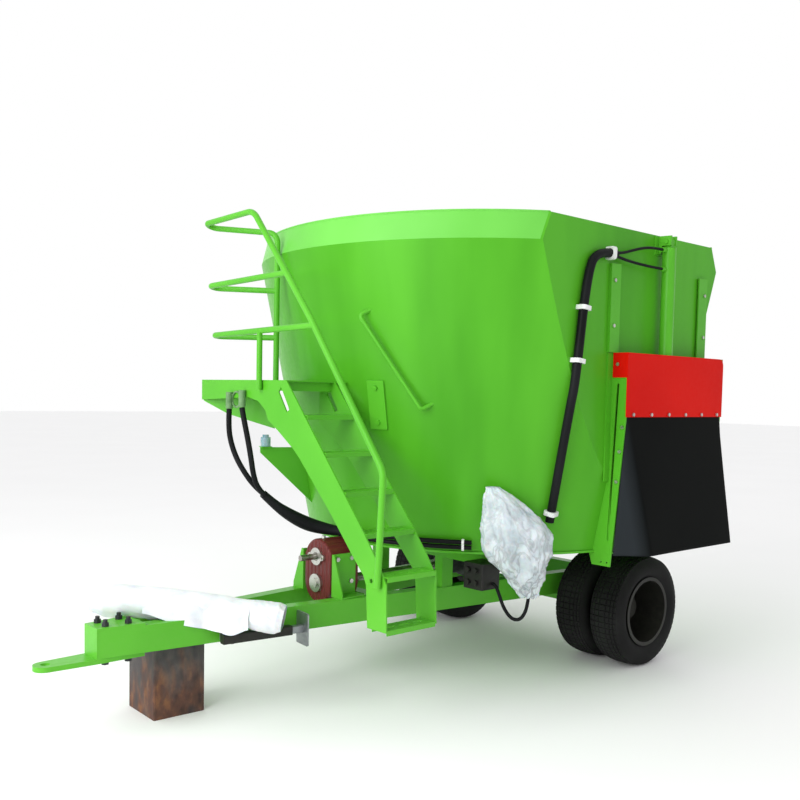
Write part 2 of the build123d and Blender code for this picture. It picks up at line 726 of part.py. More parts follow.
# Counter knives: a bolted plate on the wall with its blade in the slit
with BuildPart() as counter_knives:
    for angle in KNIFE_ANGLES:
        with BuildSketch(wall_plane(angle, KNIFE_Z, GAP)):
            RectangleRounded(110, 280, 8)
        extrude(amount=10)
        with BuildSketch(wall_plane(angle, KNIFE_Z, -WALL)):
            Rectangle(8, 200)
        extrude(amount=WALL + 6)
        for spot in (98, -98):
            with BuildSketch(wall_plane(angle, KNIFE_Z, GAP + 10)):
                with Locations((0, spot)):
                    RegularPolygon(15, 6)
            extrude(amount=12)
counter_knives.part.label = "counter_knives"
export_step(counter_knives.part, "parts/counter_knives.step")

# Bent rod welded to the wall beside the ladder
ROD_D = 22
with BuildPart() as grab_rod:
    add(
        bent_tube(
            [
                wall_point(-162.6, 2186, -14),
                wall_point(-164.6, 2150, 44),
                wall_point(-150.8, 1640, 44),
                wall_point(-148.2, 1678, -14),
            ],
            [22, 22],
            ROD_D,
        )
    )
    add(tub_block(FIT), mode=Mode.SUBTRACT)
grab_rod.part.label = "grab_rod"
export_step(grab_rod.part, "parts/grab_rod.step")

# Drawbar rails: box sections that meet at the head and spread to the rear
HEAD_SOLID = -2540    # the rails are solid ahead of this, where the hitch bolts go through
INNER_MEET = RAIL_FRONT + (RAIL_W - HEAD_HALF) / RAIL_SPREAD
HITCH_BOLTS = [(x, side * y) for x, y in zip(HITCH_BOLT_X, HITCH_BOLT_Y) for side in (-1, 1)]
with BuildPart() as near_rail:
    with BuildSketch(level(RAIL_LOW)):
        with BuildLine():
            Polyline(
                (RAIL_FRONT, -GAP / 2),
                (RAIL_FRONT, -HEAD_HALF),
                (RAIL_BACK, -rail_outer(RAIL_BACK)),
                (RAIL_BACK, -rail_outer(RAIL_BACK) + RAIL_W),
                (INNER_MEET, -GAP / 2),
                close=True,
            )
        make_face()
    extrude(amount=RAIL_H)
    with BuildSketch(level(RAIL_LOW + RAIL_WALL)):
        with BuildLine():
            Polyline(
                (HEAD_SOLID, -rail_outer(HEAD_SOLID) + RAIL_WALL),
                (RAIL_BACK, -rail_outer(RAIL_BACK) + RAIL_WALL),
                (RAIL_BACK, -rail_outer(RAIL_BACK) + RAIL_W - RAIL_WALL),
                (HEAD_SOLID, -rail_outer(HEAD_SOLID) + RAIL_W - RAIL_WALL),
                close=True,
            )
        make_face()
    extrude(amount=RAIL_H - 2 * RAIL_WALL, mode=Mode.SUBTRACT)
    with Locations(*[at(x, y, RAIL_LOW + RAIL_H / 2) for x, y in HITCH_BOLTS if y < 0]):
        Cylinder(HITCH_BOLT_D / 2 + GAP, RAIL_H + 10, mode=Mode.SUBTRACT)
near_rail.part.label = "near_rail"
export_step(near_rail.part, "parts/near_rail.step")

with BuildPart() as far_rail:
    with BuildSketch(level(RAIL_LOW)):
        with BuildLine():
            Polyline(
                (RAIL_FRONT, GAP / 2),
                (RAIL_FRONT, HEAD_HALF),
                (RAIL_BACK, rail_outer(RAIL_BACK)),
                (RAIL_BACK, rail_outer(RAIL_BACK) - RAIL_W),
                (INNER_MEET, GAP / 2),
                close=True,
            )
        make_face()
    extrude(amount=RAIL_H)
    with BuildSketch(level(RAIL_LOW + RAIL_WALL)):
        with BuildLine():
            Polyline(
                (HEAD_SOLID, rail_outer(HEAD_SOLID) - RAIL_WALL),
                (RAIL_BACK, rail_outer(RAIL_BACK) - RAIL_WALL),
                (RAIL_BACK, rail_outer(RAIL_BACK) - RAIL_W + RAIL_WALL),
                (HEAD_SOLID, rail_outer(HEAD_SOLID) - RAIL_W + RAIL_WALL),
                close=True,
            )
        make_face()
    extrude(amount=RAIL_H - 2 * RAIL_WALL, mode=Mode.SUBTRACT)
    with Locations(*[at(x, y, RAIL_LOW + RAIL_H / 2) for x, y in HITCH_BOLTS if y > 0]):
        Cylinder(HITCH_BOLT_D / 2 + GAP, RAIL_H + 10, mode=Mode.SUBTRACT)
far_rail.part.label = "far_rail"
export_step(far_rail.part, "parts/far_rail.step")

# Head plate over the rails with a turned-down front
HEAD_T = 12
HEAD_REACH = 230
with BuildPart() as hitch_head:
    with BuildSketch(level(RAIL_HIGH)):
        with BuildLine():
            Polyline(
                (RAIL_FRONT - HEAD_T, -HEAD_HALF),
                (RAIL_FRONT + HEAD_REACH, -rail_outer(RAIL_FRONT + HEAD_REACH)),
                (RAIL_FRONT + HEAD_REACH, rail_outer(RAIL_FRONT + HEAD_REACH)),
                (RAIL_FRONT - HEAD_T, HEAD_HALF),
                close=True,
            )
        make_face()
    extrude(amount=HEAD_T)
    with BuildSketch(across(RAIL_FRONT - HEAD_T)):
        with Locations((0, (RAIL_LOW + RAIL_HIGH) / 2)):
            Rectangle(2 * HEAD_HALF, RAIL_H)
    extrude(amount=HEAD_T)
    with Locations(*[at(x, y, RAIL_HIGH) for x, y in HITCH_BOLTS]):
        Cylinder(HITCH_BOLT_D / 2 + GAP, 60, mode=Mode.SUBTRACT)
hitch_head.part.label = "hitch_head"
export_step(hitch_head.part, "parts/hitch_head.step")

# Hitch tongue: a thick plate with a round eye
TONGUE_BACK = -2510
with BuildPart() as hitch_tongue:
    with BuildSketch(level(RAIL_LOW - TONGUE_T)):
        with BuildLine():
            Polyline(
                (TONGUE_BACK, -HEAD_HALF),
                (RAIL_FRONT, -HEAD_HALF),
                (EYE_X, -EYE_R),
                (EYE_X, EYE_R),
                (RAIL_FRONT, HEAD_HALF),
                (TONGUE_BACK, HEAD_HALF),
                close=True,
            )
        make_face()
        with Locations((EYE_X, 0)):
            Circle(EYE_R)
            Circle(EYE_BORE, mode=Mode.SUBTRACT)
    extrude(amount=TONGUE_T)
    with Locations(*[at(x, y, RAIL_LOW) for x, y in HITCH_BOLTS]):
        Cylinder(HITCH_BOLT_D / 2 + GAP, 80, mode=Mode.SUBTRACT)
hitch_tongue.part.label = "hitch_tongue"
export_step(hitch_tongue.part, "parts/hitch_tongue.step")

# Four long hitch bolts with heads below and nuts on top
with BuildPart() as hitch_bolts:
    for x, y in HITCH_BOLTS:
        with BuildSketch(level(RAIL_LOW - TONGUE_T - 14)):
            with Locations((x, y)):
                RegularPolygon(19, 6)
        extrude(amount=14)
        with BuildSketch(level(RAIL_HIGH + HEAD_T)):
            with Locations((x, y)):
                RegularPolygon(19, 6)
        extrude(amount=18)
        with BuildSketch(level(RAIL_LOW - TONGUE_T)):
            with Locations((x, y)):
                Circle(HITCH_BOLT_D / 2)
        extrude(amount=RAIL_H + TONGUE_T + HEAD_T + 34)
hitch_bolts.part.label = "hitch_bolts"
export_step(hitch_bolts.part, "parts/hitch_bolts.step")

# Cross members and posts between rails and tub floor
BEAM_X = (-620, 620)
BEAM_H = 100
BEAM_HALF = 900
BEAM_WALL = 8
CROSS_X = ((-1130, -1050), (760, 840))
with BuildPart() as subframe:
    for x in BEAM_X:
        with BuildSketch(along(BEAM_HALF)):
            with Locations((x, FLOOR_Z - BEAM_H / 2)):
                Rectangle(BEAM_H, BEAM_H)
                Rectangle(BEAM_H - 2 * BEAM_WALL, BEAM_H - 2 * BEAM_WALL, mode=Mode.SUBTRACT)
        extrude(amount=2 * BEAM_HALF)
        for side in (-1, 1):
            with BuildSketch(level(RAIL_HIGH)):
                with Locations((x, side * (rail_outer(x) - RAIL_W / 2))):
                    Rectangle(BEAM_H - 10, 66)
                    Rectangle(BEAM_H - 26, 50, mode=Mode.SUBTRACT)
            extrude(amount=FLOOR_Z - BEAM_H - RAIL_HIGH - GAP)
    for start, end in CROSS_X:
        with BuildSketch(level(RAIL_LOW + 10)):
            with BuildLine():
                Polyline(
                    (start, -rail_outer(start) + RAIL_W),
                    (end, -rail_outer(end) + RAIL_W),
                    (end, rail_outer(end) - RAIL_W),
                    (start, rail_outer(start) - RAIL_W),
                    close=True,
                )
            make_face()
        extrude(amount=RAIL_H - 20)
subframe.part.label = "subframe"
export_step(subframe.part, "parts/subframe.step")

# Gearbox mount: a plate either side on a foot, stiffened by a front gusset
MOUNT_BACK = -1205
MOUNT_TOP = 785
MOUNT_FOOT = 10
MOUNT_BOLTS = ((-1341, 755), (-1240, 755), (-1240, 620))
with BuildPart() as gearbox_mount:
    for side in (-1, 1):
        with BuildSketch(across(BOX_FRONT)):
            with BuildLine():
                Polyline(
                    (side * MOUNT_Y, RAIL_HIGH),
                    (side * (rail_outer(BOX_FRONT) - 4), RAIL_HIGH),
                    (side * (rail_outer(BOX_FRONT) - 4), RAIL_HIGH + MOUNT_FOOT),
                    (side * (MOUNT_Y + MOUNT_T), RAIL_HIGH + MOUNT_FOOT),
                    (side * (MOUNT_Y + MOUNT_T), MOUNT_TOP),
                    (side * MOUNT_Y, MOUNT_TOP),
                    close=True,
                )
            make_face()
        extrude(amount=MOUNT_BACK - BOX_FRONT)
        with BuildSketch(across(BOX_FRONT)):
            with BuildLine():
                Polyline(
                    (side * (MOUNT_Y + MOUNT_T), RAIL_HIGH + MOUNT_FOOT),
                    (side * (rail_outer(BOX_FRONT) - 6), RAIL_HIGH + MOUNT_FOOT),
                    (side * (rail_outer(BOX_FRONT) - 6), RAIL_HIGH + MOUNT_FOOT + 20),
                    (side * (MOUNT_Y + MOUNT_T + 10), MOUNT_TOP),
                    (side * (MOUNT_Y + MOUNT_T), MOUNT_TOP),
                    close=True,
                )
            make_face()
        extrude(amount=MOUNT_T)
        for x, z in MOUNT_BOLTS:
            with BuildSketch(along(side * MOUNT_Y)):
                with Locations((x, z)):
                    Circle(9)
            extrude(amount=40, both=True, mode=Mode.SUBTRACT)
gearbox_mount.part.label = "gearbox_mount"
export_step(gearbox_mount.part, "parts/gearbox_mount.step")

# Gearbox housing: an oval casting with bores for both shafts and side lugs
BOX_TOP_Z = 733
BOX_LOW_Z = 606
with BuildPart() as gearbox_housing:
    with BuildSketch(across(BOX_FRONT)):
        with Locations((0, (BOX_TOP_Z + BOX_LOW_Z) / 2)):
            SlotCenterToCenter(BOX_TOP_Z - BOX_LOW_Z, 2 * BOX_R, rotation=90)
    extrude(amount=BOX_BACK - BOX_FRONT)
    fillet(gearbox_housing.edges().group_by(Axis.X)[0], 16)
    with BuildSketch(across(BOX_FRONT + BOX_WALL)):
        with Locations((0, (BOX_TOP_Z + BOX_LOW_Z) / 2)):
            SlotCenterToCenter(BOX_TOP_Z - BOX_LOW_Z, 2 * BOX_R - 2 * BOX_WALL, rotation=90)
    extrude(amount=BOX_BACK - BOX_FRONT - 2 * BOX_WALL, mode=Mode.SUBTRACT)
    for side in (-1, 1):
        for x, z in MOUNT_BOLTS:
            with BuildSketch(along(side * (BOX_R - BOX_WALL / 2))):
                with Locations((x, z)):
                    Circle(20)
            extrude(amount=-side * (MOUNT_Y - GAP - BOX_R + BOX_WALL / 2))
    with BuildSketch(across(BOX_FRONT - 1)):
        with Locations((0, INPUT_Z)):
            Circle(SHAFT_R + FIT)
    extrude(amount=BOX_WALL + 2, mode=Mode.SUBTRACT)
    with BuildSketch(across(BOX_BACK - BOX_WALL - 1)):
        with Locations((0, INPUT_Z)):
            Circle(SHAFT_R + FIT)
    extrude(amount=9, mode=Mode.SUBTRACT)
    with BuildSketch(across(BOX_BACK - BOX_WALL - 1)):
        with Locations((0, OUTPUT_Z)):
            Circle(SHAFT_R + FIT)
    extrude(amount=BOX_WALL + 2, mode=Mode.SUBTRACT)
    with BuildSketch(across(BOX_FRONT + BOX_WALL - 8)):
        with Locations((0, OUTPUT_Z)):
            Circle(SHAFT_R + FIT)
    extrude(amount=9, mode=Mode.SUBTRACT)
gearbox_housing.part.label = "gearbox_housing"
export_step(gearbox_housing.part, "parts/gearbox_housing.step")

# Gearbox fittings: input flange, lower cap, breather and mount bolts
with BuildPart() as gearbox_fittings:
    with BuildSketch(across(BOX_FRONT - 14)):
        with Locations((0, INPUT_Z)):
            Circle(52)
        with Locations((-58, INPUT_Z), (58, INPUT_Z)):
            Circle(18)
        with Locations((0, INPUT_Z)):
            Rectangle(116, 36)
        with Locations((0, INPUT_Z)):
            Circle(SHAFT_R + 1, mode=Mode.SUBTRACT)
    extrude(amount=14)
    with BuildSketch(across(BOX_FRONT - 24)):
        with Locations((-58, INPUT_Z), (58, INPUT_Z)):
            RegularPolygon(11, 6)
    extrude(amount=10)
    with BuildSketch(across(BOX_FRONT - 18)):
        with Locations((0, OUTPUT_Z)):
            Circle(54)
    extrude(amount=18)
    with BuildSketch(across(BOX_FRONT - 30)):
        with Locations((0, OUTPUT_Z)):
            Circle(30)
    extrude(amount=12)
    with BuildSketch(level(BOX_TOP_Z + BOX_R)):
        with Locations((BOX_FRONT + 44, 0)):
            RegularPolygon(14, 6)
    extrude(amount=14)
    for side in (-1, 1):
        for x, z in MOUNT_BOLTS:
            with BuildSketch(along(side * (MOUNT_Y + MOUNT_T))):
                with Locations((x, z)):
                    RegularPolygon(14, 6)
            extrude(amount=-side * 10)
            with BuildSketch(along(side * MOUNT_Y)):
                with Locations((x, z)):
                    Circle(8)
            extrude(amount=-side * (MOUNT_T + 2))
gearbox_fittings.part.label = "gearbox_fittings"
export_step(gearbox_fittings.part, "parts/gearbox_fittings.step")

# Input shaft with splined stub and gear
GEAR_X = -1300
GEAR_W = 50
with BuildPart() as input_shaft:
    with BuildSketch(across(BOX_FRONT - 16)):
        with Locations((0, INPUT_Z)):
            Circle(SHAFT_R)
    extrude(amount=BOX_BACK - BOX_WALL + 7 - BOX_FRONT + 16)
    with BuildSketch(across(STUB_END)):
        with Locations((0, INPUT_Z)):
            Circle(STUB_R)
            with PolarLocations(STUB_R, 6):
                Rectangle(5, 3.4, mode=Mode.SUBTRACT)
    extrude(amount=BOX_FRONT - 16 - STUB_END)
    with BuildSketch(across(GEAR_X)):
        with Locations((0, INPUT_Z)):
            Circle(INPUT_GEAR_R)
    extrude(amount=GEAR_W)
input_shaft.part.label = "input_shaft"
export_step(input_shaft.part, "parts/input_shaft.step")

# Drive shaft from the gearbox to the planetary gearbox, with two flanges
BOSS_X = -300
with BuildPart() as drive_shaft:
    with BuildSketch(across(BOX_FRONT + BOX_WALL - 7)):
        with Locations((0, OUTPUT_Z)):
            Circle(SHAFT_R)
    extrude(amount=BOSS_X + 80 - BOX_FRONT - BOX_WALL + 7)
    with BuildSketch(across(GEAR_X)):
        with Locations((0, OUTPUT_Z)):
            Circle(OUTPUT_GEAR_R)
    extrude(amount=GEAR_W)
    for x in (BOX_BACK + 30, BOSS_X - 70):
        with BuildSketch(across(x)):
            with Locations((0, OUTPUT_Z)):
                Circle(58)
        extrude(amount=36)
drive_shaft.part.label = "drive_shaft"
export_step(drive_shaft.part, "parts/drive_shaft.step")

# Planetary gearbox hung under the floor, its output spigot standing up through it
PLANET_R = 200
PLANET_LOW = 500
with BuildPart() as planetary_gearbox:
    with BuildSketch(radial(0)):
        with BuildLine():
            Polyline(
                (0, PLANET_LOW),
                (PLANET_R - 60, PLANET_LOW),
                (PLANET_R, PLANET_LOW + 60),
                (PLANET_R, FLOOR_Z - 14),
                (PLANET_R + 60, FLOOR_Z - 14),
                (PLANET_R + 60, FLOOR_Z),
                (SPIGOT_R, FLOOR_Z),
                (SPIGOT_R, FLOOR_Z + 130),
                (0, FLOOR_Z + 130),
                close=True,
            )
        make_face()
    revolve(axis=TUB_AXIS)
    with BuildSketch(across(BOSS_X)):
        with Locations((0, OUTPUT_Z)):
            Circle(70)
    extrude(amount=-BOSS_X - PLANET_R + 40)
    with BuildSketch(across(BOSS_X - 1)):
        with Locations((0, OUTPUT_Z)):
            Circle(SHAFT_R + FIT)
    extrude(amount=86, mode=Mode.SUBTRACT)
planetary_gearbox.part.label = "planetary_gearbox"
export_step(planetary_gearbox.part, "parts/planetary_gearbox.step")

# Auger core: a tube with a coned top, carried on the spigot
CORE_LOW = FLOOR_Z + FLOOR_T + 8
CORE_WALL = 12
SOCKET_TOP = FLOOR_Z + 132
with BuildPart() as auger_core:
    with BuildSketch(radial(0)):
        with BuildLine():
            Polyline(
                (CORE_R, CORE_LOW),
                (CORE_R, CORE_TOP - 110),
                (CORE_R - 100, CORE_TOP),
                (0, CORE_TOP),
                (0, CORE_TOP - CORE_WALL),
                (CORE_R - 105, CORE_TOP - CORE_WALL),
                (CORE_R - CORE_WALL, CORE_TOP - 112),
                (CORE_R - CORE_WALL, CORE_LOW),
                close=True,
            )
        make_face()
        with BuildLine():
            Polyline(
                (SPIGOT_R + FIT, CORE_LOW),
                (SPIGOT_R + 26, CORE_LOW),
                (SPIGOT_R + 26, SOCKET_TOP - 8),
                (CORE_R - CORE_WALL, SOCKET_TOP - 8),
                (CORE_R - CORE_WALL, SOCKET_TOP + 10),
                (0, SOCKET_TOP + 10),
                (0, SOCKET_TOP),
                (SPIGOT_R + FIT, SOCKET_TOP),
                close=True,
            )
        make_face()
    revolve(axis=TUB_AXIS)
    with Locations(at(SPIGOT_R + 60, 0, SOCKET_TOP)):
        Cylinder(12, 60, mode=Mode.SUBTRACT)
auger_core.part.label = "auger_core"
export_step(auger_core.part, "parts/auger_core.step")

# Auger flight: a tapering screw of straight pieces
FLIGHT_COUNT = int(FLIGHT_TURNS * 360 / FLIGHT_STEP)
FLIGHT_IN = (CORE_R + GAP) / math.cos(math.radians(FLIGHT_STEP / 2))


def flight_z(share):
    """Middle height of the flight at a share of its run."""
    return FLIGHT_LOW + (FLIGHT_HIGH - FLIGHT_LOW) * share


def flight_r(share):
    """Outer radius of the flight at a share of its run."""
    return FLIGHT_R_LOW + (FLIGHT_R_HIGH - FLIGHT_R_LOW) * share


with BuildPart() as auger_flight:
    for i in range(FLIGHT_COUNT + 1):
        share = i / FLIGHT_COUNT
        with BuildSketch(radial(i * FLIGHT_STEP)):
            with Locations(((FLIGHT_IN + flight_r(share)) / 2, flight_z(share))):
                Rectangle(flight_r(share) - FLIGHT_IN, FLIGHT_T)
    loft(ruled=True)
auger_flight.part.label = "auger_flight"
export_step(auger_flight.part, "parts/auger_flight.step")

# Knives bolted on the edge of the flight
KNIFE_LONG = 190
KNIFE_WIDE = 80
KNIFE_T = 10
with BuildPart() as auger_knives:
    for i in range(KNIFE_COUNT):
        share = (i + 0.6) / (KNIFE_COUNT + 1)
        step = round(share * FLIGHT_COUNT) + 0.5
        share = step / FLIGHT_COUNT
        angle = math.radians(step * FLIGHT_STEP)
        reach = flight_r(share)
        climb = (FLIGHT_HIGH - FLIGHT_LOW) / (FLIGHT_TURNS * 2 * math.pi * reach)
        tangent = Vector(-math.sin(angle), math.cos(angle), climb).normalized()
        radius_way = Vector(math.cos(angle), math.sin(angle), 0)
        up = radius_way.cross(tangent)
        base = Vector(*at(reach * math.cos(angle), reach * math.sin(angle), flight_z(share)))
        place = Plane(origin=base + up * (FLIGHT_T / 2 + 1), x_dir=radius_way, z_dir=up)
        with BuildSketch(place):
            with BuildLine():
                Polyline(
                    (-KNIFE_WIDE / 2, -KNIFE_LONG / 3),
                    (KNIFE_WIDE / 2 - 12, -KNIFE_LONG / 3),
                    (KNIFE_WIDE / 2, KNIFE_LONG / 6),
                    (KNIFE_WIDE / 4, KNIFE_LONG / 3),
                    (-KNIFE_WIDE / 2, KNIFE_LONG / 3),
                    close=True,
                )
            make_face()
        extrude(amount=KNIFE_T)
auger_knives.part.label = "auger_knives"
export_step(auger_knives.part, "parts/auger_knives.step")

# Axle: box tube with pads to the rails and a spindle each side
PAD_H = RAIL_LOW - WHEEL_R - AXLE_BAR / 2
with BuildPart() as axle:
    with BuildSketch(along(AXLE_END)):
        with Locations((AXLE_X, WHEEL_R)):
            Rectangle(AXLE_BAR, AXLE_BAR)
            Rectangle(AXLE_BAR - 20, AXLE_BAR - 20, mode=Mode.SUBTRACT)
    extrude(amount=2 * AXLE_END)
    for side in (-1, 1):
        with Locations(at(AXLE_X, side * (rail_outer(AXLE_X) - RAIL_W / 2), WHEEL_R + AXLE_BAR / 2 + PAD_H / 2)):
            Box(150, 100, PAD_H)
        with BuildSketch(along(side * (AXLE_END - 30))):
            with Locations((AXLE_X, WHEEL_R)):
                Rectangle(AXLE_BAR, AXLE_BAR)
        extrude(amount=-side * 50)
        with BuildSketch(along(side * AXLE_END)):
            with Locations((AXLE_X, WHEEL_R)):
                Circle(SPINDLE_R)
        extrude(amount=-side * (FLANGE_IN + 90 - AXLE_END))
        with BuildSketch(along(side * (FLANGE_IN + 84))):
            with Locations((AXLE_X, WHEEL_R)):
                RegularPolygon(46, 6)
        extrude(amount=-side * 20)
    with Locations(at(AXLE_X, 0, WHEEL_R - AXLE_BAR / 2)):
        Cylinder(8, 40, mode=Mode.SUBTRACT)
axle.part.label = "axle"
export_step(axle.part, "parts/axle.step")


def wheel_plane(side):
    """Plane through a wheel axis; sketches hold (distance from the middle, radius)."""
    return Plane(origin=at(AXLE_X, 0, WHEEL_R), x_dir=(0, side, 0), z_dir=(side, 0, 0))


WHEEL_AXIS = Axis(at(AXLE_X, 0, WHEEL_R), (0, 1, 0))


def hub_body(side):
    """Hub with bearing bore, wheel flange, stud holes and a cap over the spindle nut."""
    with BuildPart() as made:
        with BuildSketch(wheel_plane(side)):
            with BuildLine():
                Polyline(
                    (AXLE_END + 60, SPINDLE_R + FIT),
                    (AXLE_END + 60, 74),
                    (FLANGE_IN, 74),
                    (FLANGE_IN, NUT_CIRCLE + 34),
                    (FLANGE_IN + FLANGE_T, NUT_CIRCLE + 34),
                    (FLANGE_IN + FLANGE_T, 74),
                    (FLANGE_IN + 84, 74),
                    (FLANGE_IN + 118, 66),
                    (FLANGE_IN + 118, 0),
                    (FLANGE_IN + 110, 0),
                    (FLANGE_IN + 110, 56),
                    (FLANGE_IN + 83, 56),
                    (FLANGE_IN + 83, SPINDLE_R + FIT),
                    close=True,
                )
            make_face()
        revolve(axis=WHEEL_AXIS)
        with BuildSketch(along(side * FLANGE_IN)):
            with Locations((AXLE_X, WHEEL_R)):
                with PolarLocations(NUT_CIRCLE, NUT_COUNT):
                    Circle(9 + GAP)
        extrude(amount=60, both=True, mode=Mode.SUBTRACT)
    return made.part


def rim_pair(side):
    """Two rims back to back, each a barrel with a disc against the wheel flange."""
    with BuildPart() as made:
        for way, start in ((-1, FLANGE_IN), (1, FLANGE_IN + FLANGE_T)):
            far = start + way * (DISC_T + TYRE_W - 2)
            with BuildSketch(wheel_plane(side)):
                with BuildLine():
                    Polyline(
                        (start, 78),
                        (start, RIM_RAD),
                        (start + way * 4, RIM_RAD + 16),
                        (start + way * 10, RIM_RAD + 16),
                        (start + way * 16, RIM_RAD),
                        (far - way * 12, RIM_RAD),
                        (far - way * 6, RIM_RAD + 16),
                        (far, RIM_RAD + 16),
                        (far, RIM_RAD - 7),
                        (start + way * DISC_T, RIM_RAD - 7),
                        (start + way * DISC_T, 78),
                        close=True,
                    )
                make_face()
            revolve(axis=WHEEL_AXIS)
        with BuildSketch(along(side * FLANGE_IN)):
            with Locations((AXLE_X, WHEEL_R)):
                with PolarLocations(NUT_CIRCLE, NUT_COUNT):
                    Circle(9 + GAP)
        extrude(amount=60, both=True, mode=Mode.SUBTRACT)
    return made.part


def tyre_pair(side):
    """Two tyres, open towards the rim, with rounded shoulders."""
    with BuildPart() as made:
        for start in (TYRE_INNER_IN, TYRE_OUTER_IN):
            middle = start + TYRE_W / 2
            bead = RIM_RAD + GAP
            with BuildSketch(wheel_plane(side)):
                with BuildLine():
                    Polyline(
                        (middle - TYRE_W / 2 + 34, bead),
                        (middle - TYRE_W / 2 + 24, bead + 20),
                        (middle - TYRE_W / 2, WHEEL_R - 2.2 * SHOULDER),
                        (middle - TYRE_W / 2 + SHOULDER / 4, WHEEL_R - SHOULDER),
                        (middle - TYRE_W / 2 + SHOULDER, WHEEL_R - SHOULDER / 7),
                        (middle - TYRE_W / 2 + 1.8 * SHOULDER, WHEEL_R),
                        (middle + TYRE_W / 2 - 1.8 * SHOULDER, WHEEL_R),
                        (middle + TYRE_W / 2 - SHOULDER, WHEEL_R - SHOULDER / 7),
                        (middle + TYRE_W / 2 - SHOULDER / 4, WHEEL_R - SHOULDER),
                        (middle + TYRE_W / 2, WHEEL_R - 2.2 * SHOULDER),
                        (middle + TYRE_W / 2 - 24, bead + 20),
                        (middle + TYRE_W / 2 - 34, bead),
                        (middle + TYRE_W / 2 - 58, bead),
                        (middle + TYRE_W / 2 - 48, bead + 24),
                        (middle + TYRE_W / 2 - 16, WHEEL_R - 2.2 * SHOULDER),
                        (middle + TYRE_W / 2 - SHOULDER, WHEEL_R - 28),
                        (middle - TYRE_W / 2 + SHOULDER, WHEEL_R - 28),
                        (middle - TYRE_W / 2 + 16, WHEEL_R - 2.2 * SHOULDER),
                        (middle - TYRE_W / 2 + 48, bead + 24),
                        (middle - TYRE_W / 2 + 58, bead),
                        close=True,
                    )
                make_face()
            revolve(axis=WHEEL_AXIS)
    return made.part


def nut_ring(side):
    """Wheel studs with their nuts, separate from one another."""
    with BuildPart() as made:
        with BuildSketch(along(side * (FLANGE_IN + FLANGE_T + DISC_T))):
            with Locations((AXLE_X, WHEEL_R)):
                with PolarLocations(NUT_CIRCLE, NUT_COUNT):
                    RegularPolygon(16, 6)
        extrude(amount=-side * 18)
        with BuildSketch(along(side * (FLANGE_IN - DISC_T - 6))):
            with Locations((AXLE_X, WHEEL_R)):
                with PolarLocations(NUT_CIRCLE, NUT_COUNT):
                    Circle(9)
        extrude(amount=-side * (FLANGE_T + 2 * DISC_T + 34))
    return made.part


# Wheels of the near side, called left, and of the far side, called right
with BuildPart() as left_hub:
    add(hub_body(-1))
left_hub.part.label = "left_hub"
export_step(left_hub.part, "parts/left_hub.step")

with BuildPart() as left_rims:
    add(rim_pair(-1))
left_rims.part.label = "left_rims"
export_step(left_rims.part, "parts/left_rims.step")

with BuildPart() as left_tyres:
    add(tyre_pair(-1))
left_tyres.part.label = "left_tyres"
export_step(left_tyres.part, "parts/left_tyres.step")

with BuildPart() as left_wheel_nuts:
    add(nut_ring(-1))
left_wheel_nuts.part.label = "left_wheel_nuts"
export_step(left_wheel_nuts.part, "parts/left_wheel_nuts.step")

with BuildPart() as right_hub:
    add(hub_body(1))
right_hub.part.label = "right_hub"
export_step(right_hub.part, "parts/right_hub.step")

with BuildPart() as right_rims:
    add(rim_pair(1))
right_rims.part.label = "right_rims"
export_step(right_rims.part, "parts/right_rims.step")

with BuildPart() as right_tyres:
    add(tyre_pair(1))
right_tyres.part.label = "right_tyres"
export_step(right_tyres.part, "parts/right_tyres.step")

with BuildPart() as right_wheel_nuts:
    add(nut_ring(1))
right_wheel_nuts.part.label = "right_wheel_nuts"
export_step(right_wheel_nuts.part, "parts/right_wheel_nuts.step")

# Ladder stringers; the front one runs on as the skirt of the platform
STRINGER_OUTER = [
    (-863, 1050),
    (-981, 908),
    (-1050, 807),
    (-1057, 571),
]
STRINGER_INNER = [
    (-915, 571),
    (-901, 782),
    (-877, 828),
    (-797, 906),
    (-604, 1107),
    (-327, 1371),
    (-271, 1416),
    (-127, 1507),
]
SKIRT_UNDER = [
    (-28, 1563),
    (2, 1618),
    (74, 1667),
    (177, 1687),
    (680, 1664),
]
SKIRT_END = 693
STRINGER_HEAD = (-197, DECK_Z)
REAR_X = LADDER_X + STRINGER_T + STEP_LEN
with BuildPart() as front_stringer:
    with BuildSketch(across(LADDER_X)):
        with BuildLine():
            Polyline(
                STRINGER_HEAD,
                *STRINGER_OUTER,
                *STRINGER_INNER,
                *SKIRT_UNDER,
                (SKIRT_END, 1664),
                (SKIRT_END, DECK_Z),
                close=True,
            )
        make_face()
        with BuildLine():
            Polyline((-150, 1748), (-128, 1720), (-205, 1612), (-232, 1626), close=True)
        make_face(mode=Mode.SUBTRACT)
        with Locations((-939, 808)):
            Circle(12, mode=Mode.SUBTRACT)
    extrude(amount=STRINGER_T)
front_stringer.part.label = "front_stringer"
export_step(front_stringer.part, "parts/front_stringer.step")

with BuildPart() as rear_stringer:
    with BuildSketch(across(REAR_X)):
        with BuildLine():
            Polyline(
                STRINGER_HEAD,
                *STRINGER_OUTER,
                *STRINGER_INNER,
                (-60, 1545),
                (-60, DECK_Z - DECK_T - GAP),
                (STRINGER_HEAD[0] - GAP, DECK_Z - DECK_T - GAP),
                close=True,
            )
        make_face()
        with BuildLine():
            Polyline((-150, 1740), (-128, 1712), (-205, 1612), (-232, 1626), close=True)
        make_face(mode=Mode.SUBTRACT)
        with Locations((-939, 808)):
            Circle(12, mode=Mode.SUBTRACT)
    extrude(amount=STRINGER_T)
rear_stringer.part.label = "rear_stringer"
export_step(rear_stringer.part, "parts/rear_stringer.step")

